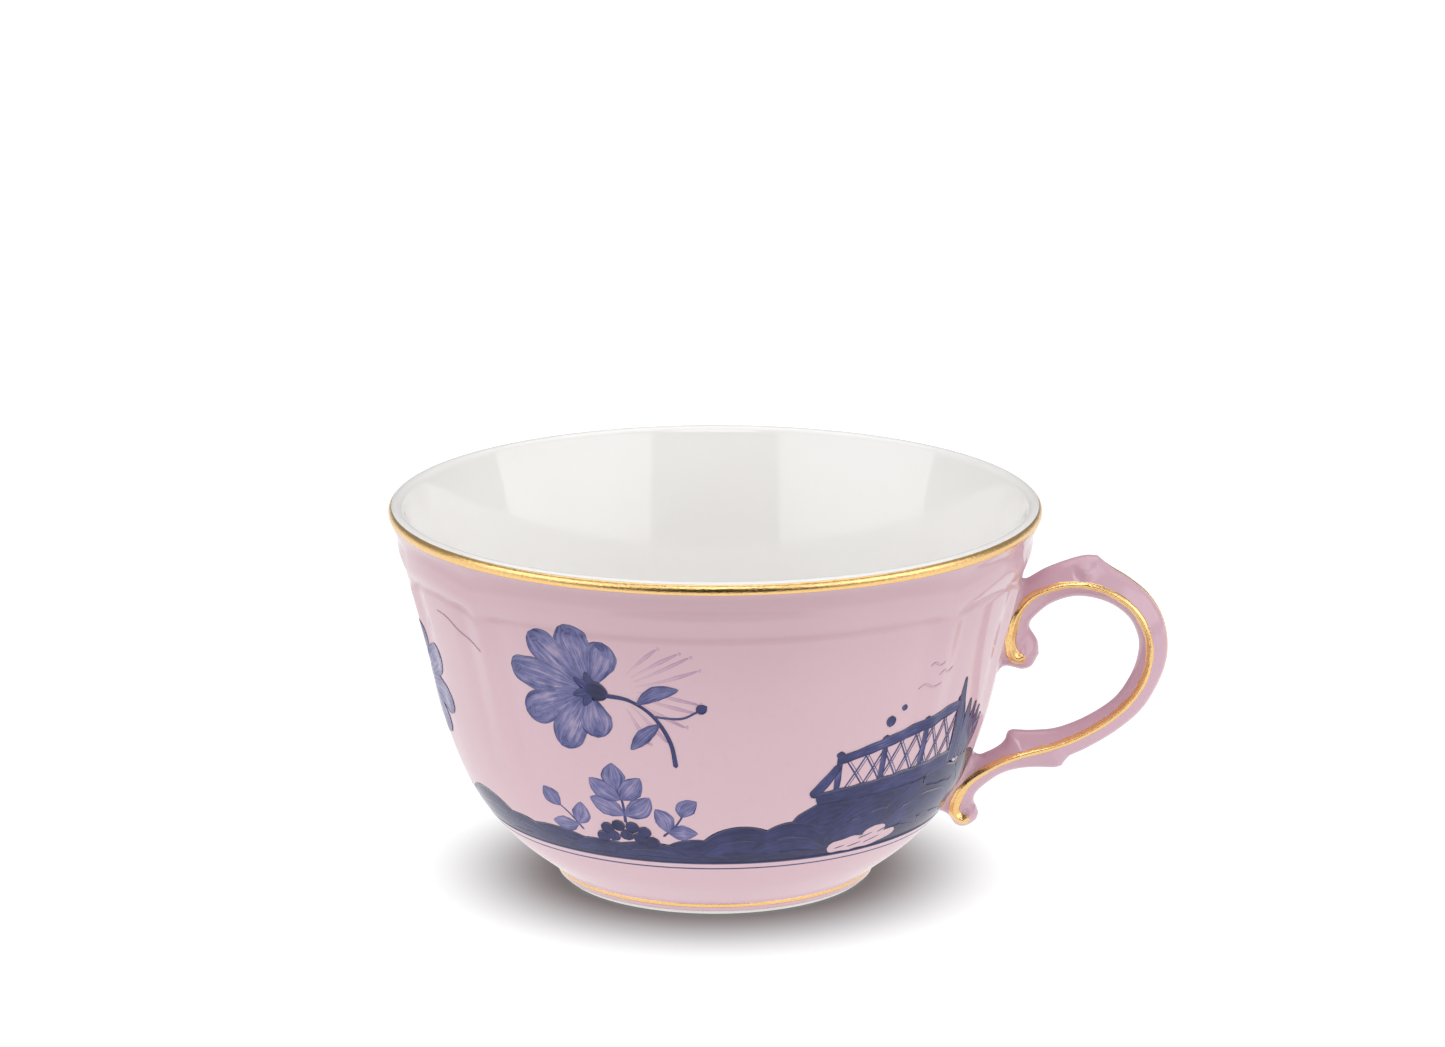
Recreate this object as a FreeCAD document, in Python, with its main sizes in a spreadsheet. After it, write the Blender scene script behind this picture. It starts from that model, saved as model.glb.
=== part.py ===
"""Porcelain teacup with a scroll handle, built as its real layers.

Frame: millimetres, +Z up, origin at the centre of the foot on the table, handle towards +X.
The cup is turned about Z, so every wall layer is a half profile turned once round. All the
wall layers are offsets of one outer line, a chain of tangent arcs from the foot to the lip.
"""

import FreeCAD, Part

import math
import os

import Sketcher

# Driving dimensions in millimetres and degrees. Angles are those of the outward normal.
SIZES = {
    "foot_base": 22.6,
    "foot_edge_r": 23.7,
    "foot_edge_z": 0.8,
    "foot_neck_r": 24.4,
    "foot_neck_z": 2.3,
    "foot_neck_angle": -35,
    "foot_inside": 20.4,
    "recess_r": 19.2,
    "recess_z": 2.4,
    "crease_r": 28,
    "crease_z": 5.1,
    "crease_angle": -53,
    "belly_bend": 32,
    "knee_angle": -22.2,
    "wall_bend": 64.3,
    "shoulder_angle": -10.6,
    "flare_bend": 187.5,
    "lip_angle": -18.4,
    "floor_bend": 23.2,
    "wall": 2.3,
    "glaze": 0.3,
    "gilding": 0.12,
    "rim_band_angle": -18.32,
    "gilded_lip_angle": 50,
    "paint_low_angle": -39,
    "paint_high_angle": -38.6,
    "foot_line_from": 0.42,
    "foot_line_to": 0.84,
    "grip_r": 42,
    "grip_z": 41,
    "grip_half_wide": 3.3,
    "grip_half_deep": 2.15,
    "gold_wire": 0.5,
    "gold_sink": 0.36,
    "joint_split_z": 25,
}

# The handle's middle line: each arc's bend and the angle of its outward normal where it ends.
# A negative bend curves the other way.
GRIP_START_ANGLE = 90
GRIP_ARCS = [
    ("crown_rise", -9.1, 128),
    ("crown", 11.1, 31),
    ("back", 9.7, -3.4),
    ("turn", 14.8, -56.8),
    ("lower_arm", 35.4, -80),
    ("tail", -13.2, -28.8),
]

# Modelled swellings of the handle: centre x and z, then half-sizes along x, y and z.
SWELLINGS = {
    "upper_pad": (43.4, 38.6, 3.4, 3.2, 6.6),
    "upper_scroll": (46.2, 34.1, 2.1, 3.0, 2.2),
    "thumb_rest": (56.8, 46.2, 3.2, 2.0, 2.8),
    "inner_spur": (45.8, 20.0, 2.9, 2.4, 1.5),
    "outer_spur": (50.0, 17.0, 2.9, 2.4, 1.6),
    "lower_pad": (36.4, 13.2, 3.6, 3.2, 4.4),
    "lower_scroll": (37.5, 8.5, 2.2, 3.0, 2.3),
}
SWELLING_SIZES = ("at_x", "at_z", "half_x", "half_y", "half_z")

doc = FreeCAD.newDocument("teacup")


def make_sheet():
    """Put every driving dimension in the sheet under its own alias."""
    sheet = doc.addObject("Spreadsheet::Sheet", "Sizes")
    cells = dict(SIZES)
    for name, bend, angle in GRIP_ARCS:
        cells[f"{name}_bend"] = bend
        cells[f"{name}_angle"] = angle
    for name, numbers in SWELLINGS.items():
        for size, number in zip(SWELLING_SIZES, numbers):
            cells[f"{name}_{size}"] = number
    for row, (alias, number) in enumerate(cells.items(), start=1):
        sheet.set(f"A{row}", alias)
        sheet.set(f"B{row}", str(number))
        sheet.setAlias(f"B{row}", alias)
    doc.recompute()
    return sheet


sheet = make_sheet()


def value(expression):
    return float(sheet.evalExpression(expression))


class Station:
    """A point of the outer line, with its normal. at(depth) is the point that deep in the wall."""

    def __init__(self, x, z, angle):
        self.x = x
        self.z = z
        self.angle = angle

    def at(self, depth):
        return (
            f"{self.x} - ({depth}) * cos({self.angle})",
            f"{self.z} - ({depth}) * sin({self.angle})",
        )

    def after_arc(self, bend, angle):
        """The end of a tangent arc that starts here."""
        x = f"{self.x} + ({bend}) * (cos({angle}) - cos({self.angle}))"
        z = f"{self.z} + ({bend}) * (sin({angle}) - sin({self.angle}))"
        return Station(x, z, angle)


WALL = "Sizes.wall"
GLAZE = "Sizes.glaze"
CORE = "Sizes.wall - Sizes.glaze"
GILDED = "-Sizes.gilding"

foot_edge = Station("Sizes.foot_edge_r", "Sizes.foot_edge_z", "0")
foot_neck = Station("Sizes.foot_neck_r", "Sizes.foot_neck_z", "Sizes.foot_neck_angle")
crease = Station("Sizes.crease_r", "Sizes.crease_z", "Sizes.crease_angle")
paint_low = crease.after_arc("Sizes.belly_bend", "Sizes.paint_low_angle")
paint_high = crease.after_arc("Sizes.belly_bend", "Sizes.paint_high_angle")
knee = crease.after_arc("Sizes.belly_bend", "Sizes.knee_angle")
shoulder = knee.after_arc("Sizes.wall_bend", "Sizes.shoulder_angle")
rim_band = shoulder.after_arc("-Sizes.flare_bend", "Sizes.rim_band_angle")
lip = shoulder.after_arc("-Sizes.flare_bend", "Sizes.lip_angle")
inside_knee_x, inside_knee_z = knee.at(WALL)
inside_knee = Station(inside_knee_x, inside_knee_z, "Sizes.knee_angle")
floor_edge = inside_knee.after_arc("Sizes.floor_bend", "-90")


def on_lip(depth, angle):
    """A point of the rounded lip, at a depth from its surface."""
    middle_x, middle_z = lip.at("Sizes.wall / 2")
    round_lip = f"(Sizes.wall / 2 - ({depth}))"
    return (f"{middle_x} + {round_lip} * cos({angle})", f"{middle_z} + {round_lip} * sin({angle})")


def crown_at(depth):
    """Halfway round the lip, at a depth from its surface."""
    return on_lip(depth, "Sizes.lip_angle + 90")


def floor_at(depth):
    """The floor's edge at a depth from the outer line; the lining is WALL deep."""
    return floor_edge.at(f"{depth} - Sizes.wall")


# Each edge of an outline says how it reaches the next point: None is straight, and a bend is an
# arc of that radius which bulges to the left of its direction when positive.
STRAIGHT = None


def up_the_wall(depth):
    """From the crease to just before the lip, at one depth in the wall."""
    return [
        (crease.at(depth), f"-(Sizes.belly_bend - ({depth}))"),
        (knee.at(depth), f"-(Sizes.wall_bend - ({depth}))"),
        (shoulder.at(depth), f"Sizes.flare_bend + ({depth})"),
    ]


def down_the_wall(depth, floor=False):
    """From the lip back down, to the floor's edge when floor is true."""
    points = [
        (lip.at(depth), f"-(Sizes.flare_bend + ({depth}))"),
        (shoulder.at(depth), f"Sizes.wall_bend - ({depth})"),
    ]
    if floor:
        points.append((knee.at(depth), f"Sizes.floor_bend + Sizes.wall - ({depth})"))
    else:
        points.append((knee.at(depth), f"Sizes.belly_bend - ({depth})"))
    return points


def arc_between(start, end, bend):
    """The arc from start to end; bend is its radius, positive when it bulges to the left."""
    radius = abs(bend)
    chord = end - start
    along = chord.Length / 2
    across = math.sqrt(max(radius**2 - along**2, 0))
    left = FreeCAD.Vector(-chord.y, chord.x, 0).normalize()
    side = 1 if bend > 0 else -1
    centre = (start + end) / 2 - left * across * side
    first = math.atan2(start.y - centre.y, start.x - centre.x)
    last = math.atan2(end.y - centre.y, end.x - centre.x)
    if side > 0:
        first, last = last, first
    circle = Part.Circle(centre, FreeCAD.Vector(0, 0, 1), radius)
    return Part.ArcOfCircle(circle, first, last)


def bind(sketch, kind, where, expression):
    """Add one sized constraint and bind it to the sheet."""
    index = sketch.addConstraint(Sketcher.Constraint(kind, *where, value(expression)))
    name = f"{kind}_{index}"
    sketch.renameConstraint(index, name)
    sketch.setExpression(f"Constraints.{name}", expression)


def draw(sketch, outline, closed=True):
    """Draw an outline of ((x, y), bend) points, with every point and bend bound to the sheet."""
    points = [FreeCAD.Vector(value(x), value(y), 0) for (x, y), _ in outline]
    count = len(outline) if closed else len(outline) - 1
    ends = []
    for i in range(count):
        start, end = points[i], points[(i + 1) % len(points)]
        bend = outline[i][1]
        if bend is STRAIGHT:
            edge = sketch.addGeometry(Part.LineSegment(start, end), False)
            ends.append((edge, 1, 2))
            continue
        edge = sketch.addGeometry(arc_between(start, end, value(bend)), False)
        ends.append((edge, 2, 1) if value(bend) > 0 else (edge, 1, 2))
        sign = "" if value(bend) > 0 else "-"
        bind(sketch, "Radius", (edge,), f"{sign}({bend})")
    for i in range(count if closed else count - 1):
        edge, _, finish = ends[i]
        following, start, _ = ends[(i + 1) % count]
        sketch.addConstraint(Sketcher.Constraint("Coincident", edge, finish, following, start))
    for i in range(len(outline)):
        edge, start, finish = ends[min(i, count - 1)]
        corner = start if i < count else finish
        (x, y), _ = outline[i]
        if x == "0":
            sketch.addConstraint(Sketcher.Constraint("PointOnObject", edge, corner, -2))
        else:
            bind(sketch, "DistanceX", (-1, 1, edge, corner), x)
        if y == "0":
            sketch.addConstraint(Sketcher.Constraint("PointOnObject", edge, corner, -1))
        else:
            bind(sketch, "DistanceY", (-1, 1, edge, corner), y)


def new_body(name):
    return doc.addObject("PartDesign::Body", name)


def new_sketch(body, name, plane):
    sketch = body.newObject("Sketcher::SketchObject", name)
    origin = body.Origin.OriginFeatures
    sketch.AttachmentSupport = [(next(o for o in origin if o.Role == plane), "")]
    sketch.MapMode = "FlatFace"
    return sketch


def turned(name, outline):
    """A body made by turning a half profile once round the cup's axis."""
    body = new_body(name)
    sketch = new_sketch(body, f"{name}_profile", "XZ_Plane")
    draw(sketch, outline)
    turn = body.newObject("PartDesign::Revolution", f"{name}_turn")
    turn.Profile = sketch
    turn.ReferenceAxis = (sketch, ["V_Axis"])
    turn.Angle = 360
    sketch.Visibility = False
    return body


# Wall layers.


def make_porcelain():
    floor_x, floor_z = floor_at(CORE)
    return turned(
        "porcelain_body",
        [
            (("0", "Sizes.recess_z"), STRAIGHT),
            (("Sizes.recess_r", "Sizes.recess_z"), STRAIGHT),
            (("Sizes.foot_inside", "0"), STRAIGHT),
            (("Sizes.foot_base", "0"), STRAIGHT),
            (foot_edge.at(GLAZE), STRAIGHT),
            (foot_neck.at(GLAZE), STRAIGHT),
            *up_the_wall(GLAZE),
            (lip.at(GLAZE), "-(Sizes.wall / 2 - Sizes.glaze)"),
            (crown_at(GLAZE), "-(Sizes.wall / 2 - Sizes.glaze)"),
            *down_the_wall(CORE, floor=True),
            ((floor_x, floor_z), STRAIGHT),
            (("0", floor_z), STRAIGHT),
        ],
    )


def make_white_glaze():
    """The lining: it covers the floor and the inside, and turns over the lip."""
    under_x, under_z = floor_at(CORE)
    top_x, top_z = floor_at(WALL)
    rising = [
        (("0", under_z), STRAIGHT),
        ((under_x, under_z), "-(Sizes.floor_bend + Sizes.glaze)"),
        (knee.at(CORE), "-(Sizes.wall_bend - Sizes.wall + Sizes.glaze)"),
        (shoulder.at(CORE), "Sizes.flare_bend + Sizes.wall - Sizes.glaze"),
        (lip.at(CORE), "Sizes.wall / 2 - Sizes.glaze"),
        (crown_at(GLAZE), "Sizes.wall / 2 - Sizes.glaze"),
        (lip.at(GLAZE), STRAIGHT),
        (lip.at("0"), "-(Sizes.wall / 2)"),
        (crown_at("0"), "-(Sizes.wall / 2)"),
    ]
    falling = [*down_the_wall(WALL, floor=True), ((top_x, top_z), STRAIGHT), (("0", top_z), STRAIGHT)]
    return turned("white_glaze", rising + falling)


def make_pink_coat():
    return turned(
        "pink_coat",
        [
            (foot_edge.at("0"), STRAIGHT),
            (foot_neck.at("0"), STRAIGHT),
            *up_the_wall("0"),
            (lip.at("0"), STRAIGHT),
            *down_the_wall(GLAZE),
            (crease.at(GLAZE), STRAIGHT),
            (foot_neck.at(GLAZE), STRAIGHT),
            (foot_edge.at(GLAZE), STRAIGHT),
        ],
    )


def make_envelope():
    """Everything inside the pink coat's outer surface, used to trim the handle to the wall."""
    lip_x, lip_z = lip.at("0")
    return turned(
        "wall_envelope",
        [
            (("0", "0"), STRAIGHT),
            (("Sizes.foot_base", "0"), STRAIGHT),
            (foot_edge.at("0"), STRAIGHT),
            (foot_neck.at("0"), STRAIGHT),
            *up_the_wall("0"),
            ((lip_x, lip_z), STRAIGHT),
            (("0", lip_z), STRAIGHT),
        ],
    )


def band(name, low, high, low_bend, high_bend):
    """A thin ring on the coat between two stations of one arc."""
    outline = [
        (low.at("0"), STRAIGHT),
        (low.at(GILDED), high_bend),
        (high.at(GILDED), STRAIGHT),
        (high.at("0"), low_bend),
    ]
    return turned(name, outline)


def make_rim_gilding():
    """The gold line: from just below the lip up over its outer side."""
    return turned(
        "rim_gilding",
        [
            (rim_band.at("0"), STRAIGHT),
            (rim_band.at(GILDED), "Sizes.flare_bend - Sizes.gilding"),
            (lip.at(GILDED), "-(Sizes.wall / 2 + Sizes.gilding)"),
            (on_lip(GILDED, "Sizes.gilded_lip_angle"), STRAIGHT),
            (on_lip("0", "Sizes.gilded_lip_angle"), "Sizes.wall / 2"),
            (lip.at("0"), "-Sizes.flare_bend"),
        ],
    )


def make_blue_line():
    rising = "-(Sizes.belly_bend + Sizes.gilding)"
    return band("blue_line", paint_low, paint_high, "Sizes.belly_bend", rising)


def make_foot_gilding():
    """A gold line part way up the foot's short straight side."""
    run = "(Sizes.foot_neck_r - Sizes.foot_edge_r)"
    rise = "(Sizes.foot_neck_z - Sizes.foot_edge_z)"
    low = (
        f"Sizes.foot_edge_r + Sizes.foot_line_from * {run}",
        f"Sizes.foot_edge_z + Sizes.foot_line_from * {rise}",
    )
    high = (
        f"Sizes.foot_edge_r + Sizes.foot_line_to * {run}",
        f"Sizes.foot_edge_z + Sizes.foot_line_to * {rise}",
    )
    outline = [
        (low, STRAIGHT),
        ((f"{low[0]} + Sizes.gilding", low[1]), STRAIGHT),
        ((f"{high[0]} + Sizes.gilding", high[1]), STRAIGHT),
        (high, STRAIGHT),
    ]
    return turned("foot_gilding", outline)


# Handle.


def grip_stations():
    stations = [Station("Sizes.grip_r", "Sizes.grip_z", str(GRIP_START_ANGLE))]
    for name, _, _ in GRIP_ARCS:
        stations.append(stations[-1].after_arc(f"Sizes.{name}_bend", f"Sizes.{name}_angle"))
    return stations


def pipe_along_grip(name, half_wide, half_deep, across="0", above="0"):
    """A bar of oval section that follows the handle's middle line, or runs beside it."""
    body = new_body(name)
    path = new_sketch(body, f"{name}_path", "XZ_Plane")
    stations = grip_stations()
    bends = [f"Sizes.{arc[0]}_bend" for arc in GRIP_ARCS] + [STRAIGHT]
    draw(path, [((s.x, s.z), bend) for s, bend in zip(stations, bends)], closed=False)
    section = new_sketch(body, f"{name}_section", "YZ_Plane")
    section.setExpression(".AttachmentOffset.Base.z", "Sizes.grip_r")
    centre_y = value(across)
    centre_z = value(f"Sizes.grip_z + {above}")
    wide, deep = value(half_wide), value(half_deep)
    centre = FreeCAD.Vector(centre_y, centre_z, 0)
    if half_wide == half_deep:
        section.addGeometry(Part.Circle(centre, FreeCAD.Vector(0, 0, 1), wide), False)
        bind(section, "Radius", (0,), half_wide)
    else:
        major = centre + FreeCAD.Vector(wide, 0, 0)
        minor = centre + FreeCAD.Vector(0, deep, 0)
        section.addGeometry(Part.Ellipse(major, minor, centre), False)
        section.exposeInternalGeometry(0)
        section.addConstraint(Sketcher.Constraint("Horizontal", 1))
        bind(section, "Distance", (1,), f"2 * {half_wide}")
        bind(section, "Distance", (2,), f"2 * {half_deep}")
    if across == "0":
        section.addConstraint(Sketcher.Constraint("PointOnObject", 0, 3, -2))
    else:
        bind(section, "DistanceX", (-1, 1, 0, 3), across)
    bind(section, "DistanceY", (-1, 1, 0, 3), f"Sizes.grip_z + {above}")
    pipe = body.newObject("PartDesign::AdditivePipe", f"{name}_pipe")
    pipe.Profile = section
    pipe.Spine = (path, [f"Edge{i + 1}" for i in range(len(GRIP_ARCS))])
    for sketch in (path, section):
        sketch.Visibility = False
    return body


def swelling(name):
    blob = doc.addObject("Part::Ellipsoid", name)
    blob.Angle1 = -90
    blob.Angle2 = 90
    blob.Angle3 = 360
    blob.setExpression("Radius1", f"Sizes.{name}_half_z")
    blob.setExpression("Radius2", f"Sizes.{name}_half_x")
    blob.setExpression("Radius3", f"Sizes.{name}_half_y")
    blob.setExpression(".Placement.Base.x", f"Sizes.{name}_at_x")
    blob.setExpression(".Placement.Base.z", f"Sizes.{name}_at_z")
    return blob


def cut(name, base, tool):
    piece = doc.addObject("Part::Cut", name)
    piece.Base = base
    piece.Tool = tool
    return piece


def common(name, *shapes):
    piece = doc.addObject("Part::MultiCommon", name)
    piece.Shapes = list(shapes)
    return piece


def fused(name, *shapes):
    piece = doc.addObject("Part::MultiFuse", name)
    piece.Shapes = list(shapes)
    return piece


def half_space(name, above):
    """A block that holds everything on the handle's side of the cup, above or below the split."""
    reach, height = 80, 60
    block = doc.addObject("Part::Box", name)
    block.Length = reach
    block.Width = reach
    block.Height = height
    block.Placement.Base = FreeCAD.Vector(0, -reach / 2, 0)
    offset = "" if above else f" - {height}"
    block.setExpression(".Placement.Base.z", f"Sizes.joint_split_z{offset}")
    return block


def make_handle(envelope, coat):
    """The handle, its two luted joints through the coat, and the coat with room for them."""
    grip = pipe_along_grip("grip_bar", "Sizes.grip_half_wide", "Sizes.grip_half_deep")
    blank = fused("handle_blank", grip, *[swelling(name) for name in SWELLINGS])
    return [
        cut("handle", blank, envelope),
        common("handle_joint_upper", blank, coat, half_space("upper_half", above=True)),
        common("handle_joint_lower", blank, coat, half_space("lower_half", above=False)),
        cut("pink_glaze", coat, blank),
    ], blank


def make_handle_gilding(blank, envelope):
    """Three gold lines: one along each side of the handle and one down its back."""
    solid = fused("handle_and_wall", blank, envelope)
    side = "Sizes.grip_half_wide - Sizes.gold_sink"
    back = "Sizes.grip_half_deep - Sizes.gold_sink"
    lines = {
        "near": (f"-({side})", "0"),
        "far": (side, "0"),
        "back": ("0", back),
    }
    pieces = []
    for name, (across, above) in lines.items():
        wire = pipe_along_grip(f"gold_{name}", "Sizes.gold_wire", "Sizes.gold_wire", across, above)
        pieces.append(cut(f"handle_gilding_{name}", wire, solid))
    return pieces


def check(objects):
    for thing in doc.Objects:
        if "Invalid" in thing.State or "Error" in thing.State:
            raise RuntimeError(f"{thing.Name} failed: {thing.State}")
    for thing in objects:
        if thing.Shape.isNull() or not thing.Shape.isValid():
            raise RuntimeError(f"{thing.Name} has no valid shape")


def build():
    envelope = make_envelope()
    coat = make_pink_coat()
    doc.recompute()
    handle_pieces, blank = make_handle(envelope, coat)
    pieces = [
        make_porcelain(),
        make_white_glaze(),
        make_rim_gilding(),
        make_foot_gilding(),
        make_blue_line(),
        *handle_pieces,
        *make_handle_gilding(blank, envelope),
    ]
    doc.recompute()
    check(pieces)
    os.makedirs("parts", exist_ok=True)
    for piece in pieces:
        piece.Label = piece.Name
        box = piece.Shape.optimalBoundingBox()
        print(
            f"{piece.Label}: {len(piece.Shape.Solids)} solid, {piece.Shape.Volume:.1f} mm3,"
            f" z {box.ZMin:.2f} to {box.ZMax:.2f}, x to {box.XMax:.2f}"
        )
        piece.Shape.exportStep(f"parts/{piece.Label}.step")


build()
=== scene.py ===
"""Looks of the porcelain teacup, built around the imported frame.

Lengths are millimetres unless a name says otherwise, and meshes are written in metres. Angles
round the cup are degrees from the painted front (-Y), positive towards the handle (+X).
"""

import math

import bmesh
import bpy
import numpy as np
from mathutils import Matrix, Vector


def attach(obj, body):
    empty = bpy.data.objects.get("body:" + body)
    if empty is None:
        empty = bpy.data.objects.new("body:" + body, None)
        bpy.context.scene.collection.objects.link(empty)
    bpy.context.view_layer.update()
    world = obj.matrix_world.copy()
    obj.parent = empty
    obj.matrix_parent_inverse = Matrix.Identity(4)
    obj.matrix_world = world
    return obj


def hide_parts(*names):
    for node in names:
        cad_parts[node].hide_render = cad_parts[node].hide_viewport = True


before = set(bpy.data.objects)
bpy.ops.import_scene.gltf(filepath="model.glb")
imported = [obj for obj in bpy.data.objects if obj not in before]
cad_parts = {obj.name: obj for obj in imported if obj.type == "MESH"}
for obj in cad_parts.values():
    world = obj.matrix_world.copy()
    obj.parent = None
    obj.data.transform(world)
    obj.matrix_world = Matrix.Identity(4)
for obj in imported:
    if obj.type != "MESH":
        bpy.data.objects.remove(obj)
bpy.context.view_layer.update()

MM = 0.001
BODY = "root"

# ---------------------------------------------------------------- the wall's outer line
# Each station is a radius, a height and the angle of the outward normal above the horizon.
FOOT_EDGE = (23.7, 0.8, 0.0)
FOOT_NECK = (24.4, 2.3, -35.0)
CREASE = (28.0, 5.1, -53.0)
# Each arc is its bend, the normal angle at its end and its steps; a negative bend is hollow.
WALL_ARCS = ((32.0, -22.2, 26), (64.3, -10.6, 28), (-187.5, -18.4, 104))
FLOOR_BEND = 23.2
WALL = 2.3
GLAZE = 0.3
TURNS = 480


def arc_points(start, bend, end_angle, steps):
    """Stations along a tangent arc, after its start."""
    radius, height, angle = start
    angles = np.linspace(angle, end_angle, steps + 1)[1:]
    turn = np.radians(angles)
    return np.stack(
        [
            radius + bend * (np.cos(turn) - math.cos(math.radians(angle))),
            height + bend * (np.sin(turn) - math.sin(math.radians(angle))),
            angles,
        ],
        axis=1,
    )


def outer_line():
    """Stations of the outer line from the foot's edge up to the lip."""
    foot = np.array([FOOT_EDGE, FOOT_NECK, CREASE])
    fine = np.linspace(0, 2, 13)
    line = [np.stack([np.interp(fine, range(3), foot[:, i]) for i in range(3)], axis=1)]
    for bend, angle, steps in WALL_ARCS:
        line.append(arc_points(line[-1][-1], bend, angle, steps))
    return np.concatenate(line)


LINE = outer_line()
RUN = np.concatenate([[0], np.cumsum(np.hypot(*np.diff(LINE[:, :2], axis=0).T))])


def radius_at(z):
    return np.interp(z, LINE[:, 1], LINE[:, 0])


def slope_at(z):
    return np.radians(np.interp(z, LINE[:, 1], LINE[:, 2]))


def smooth_step(x, low, high):
    t = np.clip((x - low) / (high - low), 0, 1)
    return t * t * (3 - 2 * t)


# ---------------------------------------------------------------- moulded relief
CUSPS = (48, 76, 104, 132, 228, 256, 284, 312)
SHOULDER_Z = 48.4
ROLL_HEIGHT, HOLLOW_DEPTH = 0.30, 0.26  # the roll above the shoulder, and the hollow above the roll
SHOULDER_GROOVE, PANEL_HEIGHT = 0.17, 0.16
RIB_HEIGHT, RIB_SIDES = 0.34, 0.2


def hump(x, width):
    return np.exp(-((x / width) ** 2))


def to_cusp(angle):
    """Signed degrees to the nearest cusp, and how far across a narrow panel the angle is."""
    away = (angle[..., None] - np.array(CUSPS) + 180) % 360 - 180
    nearest = np.take_along_axis(away, np.abs(away).argmin(-1)[..., None], -1)[..., 0]
    side = (angle % 180) - 90
    narrow = hump(np.abs(side) - 28, 9)
    return nearest, narrow


def relief(angle, z):
    """Height of the moulding above the turned wall: a festooned shoulder and soft ridges."""
    angle, z = np.broadcast_arrays(np.asarray(angle, float), np.asarray(z, float))
    cusp, narrow = to_cusp(angle)
    line = SHOULDER_Z - 1.2 * np.exp(-np.abs(cusp) / 6) + 0.5 * narrow
    above = z - line
    shape = ROLL_HEIGHT * hump(above - 2.3, 1.4)
    shape -= HOLLOW_DEPTH * hump(above - 5.4, 1.5)
    shape -= SHOULDER_GROOVE * hump(above, 0.5)
    shape += PANEL_HEIGHT * smooth_step(-above, 0, 0.9) * smooth_step(z, 26, 44)
    ribs = RIB_HEIGHT * hump(cusp, 2.2) - RIB_SIDES * hump(np.abs(cusp) - 5.0, 2.4)
    shape += ribs * smooth_step(z, 16, 44) * smooth_step(-above, -1.5, 0.5)
    return shape * smooth_step(-z, -55.7, -54.4)


ANGLES = np.linspace(0, 360, TURNS, endpoint=False)
MOULDING = relief(ANGLES[None, :], LINE[:, 1, None])


def moulding_at(angle, z):
    """The relief as the wall's own mesh has it, between its rings and its turns."""
    row = np.interp(z, LINE[:, 1], np.arange(len(LINE)))
    column = (angle % 360) * TURNS / 360
    low = np.minimum(row.astype(int), len(LINE) - 2)
    left = column.astype(int) % TURNS
    up, along = row - low, column - np.floor(column)
    beside = (left + 1) % TURNS
    lower = MOULDING[low, left] * (1 - along) + MOULDING[low, beside] * along
    upper = MOULDING[low + 1, left] * (1 - along) + MOULDING[low + 1, beside] * along
    return lower * (1 - up) + upper * up


def on_wall(angle, z, lift=0.0):
    """The point of the glazed outside at an angle and height, lifted along the normal."""
    angle, z = np.broadcast_arrays(np.asarray(angle, float), np.asarray(z, float))
    out = moulding_at(angle, z) + lift
    slope = slope_at(z)
    radius = radius_at(z) + out * np.cos(slope)
    turn = np.radians(angle)
    return np.stack(
        [radius * np.sin(turn), -radius * np.cos(turn), z + out * np.sin(slope)], axis=-1
    )


# ---------------------------------------------------------------- meshes
def add_piece(name, points, faces, look, replaced=()):
    """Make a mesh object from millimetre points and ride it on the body."""
    mesh = bpy.data.meshes.new(name)
    mesh.from_pydata((np.asarray(points) * MM).tolist(), [], [list(f) for f in faces])
    mesh.validate()
    mesh.polygons.foreach_set("use_smooth", [True] * len(mesh.polygons))
    mesh.materials.append(look)
    piece = bpy.data.objects.new(name, mesh)
    bpy.context.scene.collection.objects.link(piece)
    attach(piece, BODY)
    if replaced:
        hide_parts(*replaced)
    return piece


def grid_faces(rows, columns, close_rows, close_columns):
    """Quads over a grid of points numbered row by row."""
    row = np.arange(rows if close_rows else rows - 1)
    column = np.arange(columns if close_columns else columns - 1)
    i, j = np.meshgrid(row, column, indexing="ij")
    below, beside = (i + 1) % rows, (j + 1) % columns
    corners = [i * columns + j, i * columns + beside, below * columns + beside, below * columns + j]
    return np.stack([c.ravel() for c in corners], axis=1)


def weld(piece, distance=0.002):
    """Join points closer than a distance in millimetres and turn the faces outward."""
    work = bmesh.new()
    work.from_mesh(piece.data)
    bmesh.ops.remove_doubles(work, verts=work.verts, dist=distance * MM)
    bmesh.ops.recalc_face_normals(work, faces=work.faces)
    work.to_mesh(piece.data)
    work.free()
    return piece


def turned(outline, moulded):
    """Rings of points: outline is stations with a depth, moulded says which ones take relief."""
    radius, height, slope, depth = [outline[:, i, None] for i in range(4)]
    out = relief(ANGLES[None, :], height) * moulded[:, None] - depth
    slope = np.radians(slope)
    rings_r = radius + out * np.cos(slope)
    rings_z = height + out * np.sin(slope) + 0 * ANGLES[None, :]
    turn = np.radians(ANGLES)[None, :]
    return np.stack([rings_r * np.sin(turn), -rings_r * np.cos(turn), rings_z], axis=-1)


def lathe(name, outline, moulded, look, replaced):
    rings = turned(outline, moulded)
    faces = grid_faces(len(outline), TURNS, True, True)
    return weld(add_piece(name, rings.reshape(-1, 3), faces, look, replaced))


def with_depth(stations, depth):
    return np.column_stack([stations, np.full(len(stations), depth)])


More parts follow.
